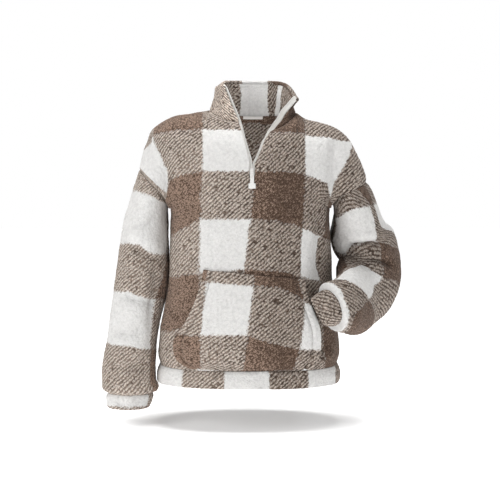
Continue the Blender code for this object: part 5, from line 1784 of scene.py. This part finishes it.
def fleeceMaterial():
    material, tree, shader = newMaterial("pileFleece", Sheen_Weight=0.14, Sheen_Roughness=0.55,
                                         Sheen_Tint=(1.0, 0.95, 0.90, 1), Specular_IOR_Level=0.12)
    add = desk(tree)[0]
    pattern = add("Group", node_tree=boucleCheck)
    attributes = (("cloth", "Vector", "Cloth"), ("weave", "Vector", "Weave"), ("pile", "Fac", "Pile"))
    for name, output, socket in attributes:
        tree.links.new(add("Attribute", attribute_name=name).outputs[output], pattern.inputs[socket])
    tree.links.new(add("TexCoord").outputs["Object"], pattern.inputs["Place"])
    for socket, key in boucleColours.items():
        pattern.inputs[socket].default_value = boucle[key]
    joined(tree, shader, *(pattern.outputs[key] for key in ("Color", "Roughness", "Height")), 0.85, 0.0022)
    return material


# Joins a colour, a roughness and the bump of a height to a shader.
def joined(tree, shader, colour, roughness, height, strength, distance):
    bump = desk(tree)[0]("Bump", {"Strength": strength, "Distance": distance, "Height": height})
    for socket, output in (("Base Color", colour), ("Roughness", roughness), ("Normal", bump.outputs[0])):
        tree.links.new(output, shader.inputs[socket])


# Woven tape: a fine chevron of raised threads, with painted shade between them.
def tapeMaterial():
    material, tree, shader = newMaterial("zipTape", Sheen_Weight=0.15, Specular_IOR_Level=0.3)
    add, calc, mixed, tinted = desk(tree)
    times, plus, _, scaled = sums(calc)
    at = add("SeparateXYZ", (add("Attribute", attribute_name="cloth").outputs["Vector"],))
    zig = calc("PINGPONG", times(at.outputs[0], 1000.0), 2.0)
    run = plus(times(at.outputs[1], 1000.0), zig)
    thread = scaled(calc("SINE", times(run, 7.0)), 0.5, 0.5)
    fuzz = add("TexNoise", {0: add("TexCoord").outputs["Object"], "Scale": 900.0, "Detail": 2.0})
    share = scaled(fuzz.outputs[0], 0.4, times(thread, 0.6), clamp=True)
    colour = tinted(share, (0.66, 0.64, 0.60, 1), (0.92, 0.90, 0.87, 1))
    joined(tree, shader, colour, mixed(share, 0.85, 0.65), share, 0.6, 0.0004)
    return material


# Moulded white plastic or enamelled metal: faint mottling toward a worn colour, scuffs in roughness and bump.
def hardMaterial(name, colour, worn, metallic=0.0, roughness=0.35):
    material, tree, shader = newMaterial(name, Metallic=metallic, Specular_IOR_Level=0.5)
    add, calc, mixed, tinted = desk(tree)
    _, _, minus, scaled = sums(calc)
    place = add("TexCoord").outputs["Object"]
    mottle = add("TexNoise", {0: place, "Scale": 380.0, "Detail": 4.0})
    scuff = add("TexNoise", {0: place, "Scale": 1500.0, "Detail": 2.0})
    share = scaled(minus(mottle.outputs[0], 0.52), 4.0, 0.1, clamp=True)
    rough = mixed(scuff.outputs[0], roughness, roughness + 0.2)
    joined(tree, shader, tinted(share, colour, worn), rough, scuff.outputs[0], 0.25, 0.0002)
    return material


# Woven label: a fine weave of threads across and along, a little cloudy.
def labelMaterial():
    material, tree, shader = newMaterial("wovenLabel", Sheen_Weight=0.2, Specular_IOR_Level=0.35)
    add, calc, mixed, tinted = desk(tree)
    times, _, _, scaled = sums(calc)
    place = add("TexCoord").outputs["Object"]
    at = add("SeparateXYZ", (place,))
    weft = calc("SINE", times(at.outputs[2], 9000.0))
    warp = calc("SINE", times(at.outputs[0], 9000.0))
    weave = scaled(times(weft, warp), 0.5, 0.5)
    cloud = add("TexNoise", {0: place, "Scale": 150.0, "Detail": 2.0})
    share = scaled(weave, 0.5, times(cloud.outputs[0], 0.5), clamp=True)
    colour = tinted(share, (0.80, 0.78, 0.75, 1), (0.95, 0.93, 0.90, 1))
    joined(tree, shader, colour, mixed(share, 0.75, 0.5), share, 0.5, 0.0003)
    return material


fleece = fleeceMaterial()


# Gives a piece its body, hides the solid that it stands in for, and prints its triangles and area.
def keep(node, obj, rider="pullover"):
    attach(obj, rider)
    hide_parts(node)
    mesh = obj.data
    mesh.calc_loop_triangles()
    print(f"{obj.name}: {len(mesh.loop_triangles)} triangles, {sum(p.area for p in mesh.polygons):.4f} m2")


for node, name, face in (("front", "frontPanel", -1), ("back", "backPanel", 1)):
    keep(node, clothShell(name, [panelPatch(-1, face), panelPatch(1, face)], fleece))
print("front and back made")

rightTables = hangingTables(rightSleeveRings)
squares = sleeveSquares(sleeves["right"], -1)
marks, puff = sleeves["right"], sleeves["puff"]["right"]
patch = sleevePatch(rightTables, marks["lines"], sleeveFolds["right"], squares, armhole=-1, puff=puff)
keep("sleeve_right", clothShell("sleeveRight", [patch], fleece, wrapped=True))
squares = cuffSquares(sleeves["cuffColumns"]["right"], sleeves["cuffFirst"]["right"], -1)
patch = sleevePatch(hangingTables(rightCuffRings), sleeves["cuffRows"], cuffFolds, squares, fat=band["fat"])
keep("cuff_right", clothShell("cuffRight", [rollEdge(patch)], fleece, wrapped=True))

leftTables, leftCuffTables = bentTables()
squares = sleeveSquares(sleeves["left"], 1)
marks, puff = sleeves["left"], sleeves["puff"]["left"]
patch = sleevePatch(leftTables, marks["lines"], sleeveFolds["left"], squares, armhole=1, puff=puff)
keep("sleeve_left", clothShell("sleeveLeft", [patch], fleece, wrapped=True))
squares = cuffSquares(sleeves["cuffColumns"]["left"], sleeves["cuffFirst"]["left"], 1)
patch = sleevePatch(leftCuffTables, sleeves["cuffRows"], cuffFolds, squares, fat=band["fat"])
keep("cuff_left", clothShell("cuffLeft", [rollEdge(patch)], fleece, wrapped=True))
print("sleeves and cuffs made")

keep("hem_band", clothShell("hemBand", [hemPatch()], fleece, wrapped=True))
outer, grid, ways, run, along = collarPatches()
keep("collar", clothShell("collarOuter", [outer], fleece))
keep("collar_facing", clothShell("collarFacing", [facingPatch(grid, ways, run, along)], fleece))
keep("pocket", clothShell("pocketCloth", [pocketPatch("middle")], fleece))
keep("pocket_edge_right", clothShell("pocketEdgeRight", [pocketPatch("right")], fleece))
keep("pocket_edge_left", clothShell("pocketEdgeLeft", [pocketPatch("left")], fleece))
print("collar, band and pocket made")

tapeLook, teethLook = tapeMaterial(), hardMaterial("coil", (0.86, 0.85, 0.83, 1), (0.70, 0.68, 0.65, 1))
for node, name, side in (("zip_tape_right", "Right", -1), ("zip_tape_left", "Left", 1)):
    patch, edge, inward, outward, at = zipTape(side)
    keep(node, clothShell("zipTape" + name, [patch], tapeLook))
    teeth = zipTeeth("zipTeeth" + name, side, edge, inward, outward, at, teethLook)
    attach(teeth, "pullover")
enamel = hardMaterial("zipEnamel", (0.86, 0.85, 0.83, 1), (0.66, 0.64, 0.61, 1), 0.0, 0.3)
keep("zip_slider", bevelled("zip_slider", "zipSlider", 0.0006, enamel))
keep("zip_pull", bevelled("zip_pull", "zipPull", 0.0008, enamel), "pull")
keep("label", labelPiece(labelMaterial()))
print("zip and label made")

# The floor glows a little, as painted light, so that it stays white; under the garment the glow is less, in a
# soft ellipse: a painted shadow, which shows with the lamps' own shadow
floor = {
    "height": -0.750, "half": 6.0, "paintedShadow": (-0.014, 0.27, 0.15), "dim": 0.24, "bright": 0.85,
    "dimTo": 0.80, "rate": 2.6, "soften": 0.2,
}
corners = [(-1, -1), (1, -1), (1, 1), (-1, 1)]
floorMesh = bpy.data.meshes.new("floor")
floorMesh.from_pydata([(x * floor["half"], y * floor["half"], floor["height"]) for x, y in corners], [],
                      [(0, 1, 2, 3)])
floorPiece = linked("floor", floorMesh)
floorLook, floorTree, floorShader = newMaterial("paleFloor", Roughness=0.9, Specular_IOR_Level=0.0)
floorShader.inputs["Base Color"].default_value = (0.92, 0.92, 0.92, 1)
floorShader.inputs["Emission Color"].default_value = (1, 1, 1, 1)
add, calc, mixed, _ = desk(floorTree)
times, plus, minus, _ = sums(calc)
spot = add("SeparateXYZ", (add("TexCoord").outputs["Object"],))
# the painted shadow's ellipse: its middle's x and its reaches
shadowX, reachX, reachY = floor["paintedShadow"]
offX = times(minus(spot.outputs[0], shadowX), 1 / reachX)
offY = times(spot.outputs[1], 1 / reachY)
farX, farY = (calc("POWER", calc("ABSOLUTE", off), 2.0) for off in (offX, offY))
far = minus(calc("SQRT", plus(farX, farY)), floor["dimTo"])
far = calc("SMOOTH_MIN", times(far, floor["rate"], clamp=True), 1.0, floor["soften"])
floorTree.links.new(mixed(far, floor["dim"], floor["bright"]), floorShader.inputs["Emission Strength"])
floorMesh.materials.append(floorLook)

# Lamps, the last a small one inside the neck, which stands for light thrown about in there
lights = {
    "key": {"place": (-2.3, -1.8, 1.1), "size": 1.6, "watts": 34, "at": (0, 0, -0.3)},
    "top": {"place": (0.0, -0.1, 1.5), "size": 1.0, "watts": 29, "at": (0, 0, -0.3)},
    "side": {"place": (2.0, -0.5, 1.4), "size": 1.0, "watts": 7, "at": (0.2, 0, -0.3)},
    "inside": {"place": (0.0, -0.06, -0.17), "size": 0.05, "watts": 0.20, "at": (0, 0.06, 0.03)},
}


# The turns that point a lamp, which shines down its own z, at its target.
def aimedAt(place, target):
    way = unit(np.array(target, float) - np.array(place, float))
    turn = math.atan2(-way[0], way[1])
    tip = math.acos(float(np.clip(-way[2], -1, 1)))
    return (tip, 0, turn)


for name, values in lights.items():
    lamp = bpy.data.lights.new(name, "AREA")
    lamp.size = values["size"]
    lamp.energy = values["watts"]
    holder = linked(name, lamp)
    holder.location = values["place"]
    holder.rotation_euler = aimedAt(values["place"], values["at"])

world = bpy.data.worlds.new("studio")
bpy.context.scene.world = world
world.use_nodes = True
add, _, mixed, _ = desk(world.node_tree)
seen = add("LightPath").outputs["Is Camera Ray"]
back = world.node_tree.nodes["Background"]
world.node_tree.links.new(mixed(seen, 0.22, 1.0), back.inputs["Strength"])
back.inputs["Color"].default_value = (1, 1, 1, 1)
bpy.context.scene.view_settings.view_transform = "Standard"

view = {"place": (-0.0049, -3.4, 0.0), "tip": 5.43, "focal": 100.0, "sensor": 36}  # tip: degrees below level
lens = bpy.data.cameras.new("lens")
lens.sensor_width = view["sensor"]
lens.lens = view["focal"]
camera = linked("camera", lens)
camera.location = view["place"]
camera.rotation_euler = (math.radians(90 - view["tip"]), 0, 0)
bpy.context.scene.camera = camera
print("floor, lights and camera set")
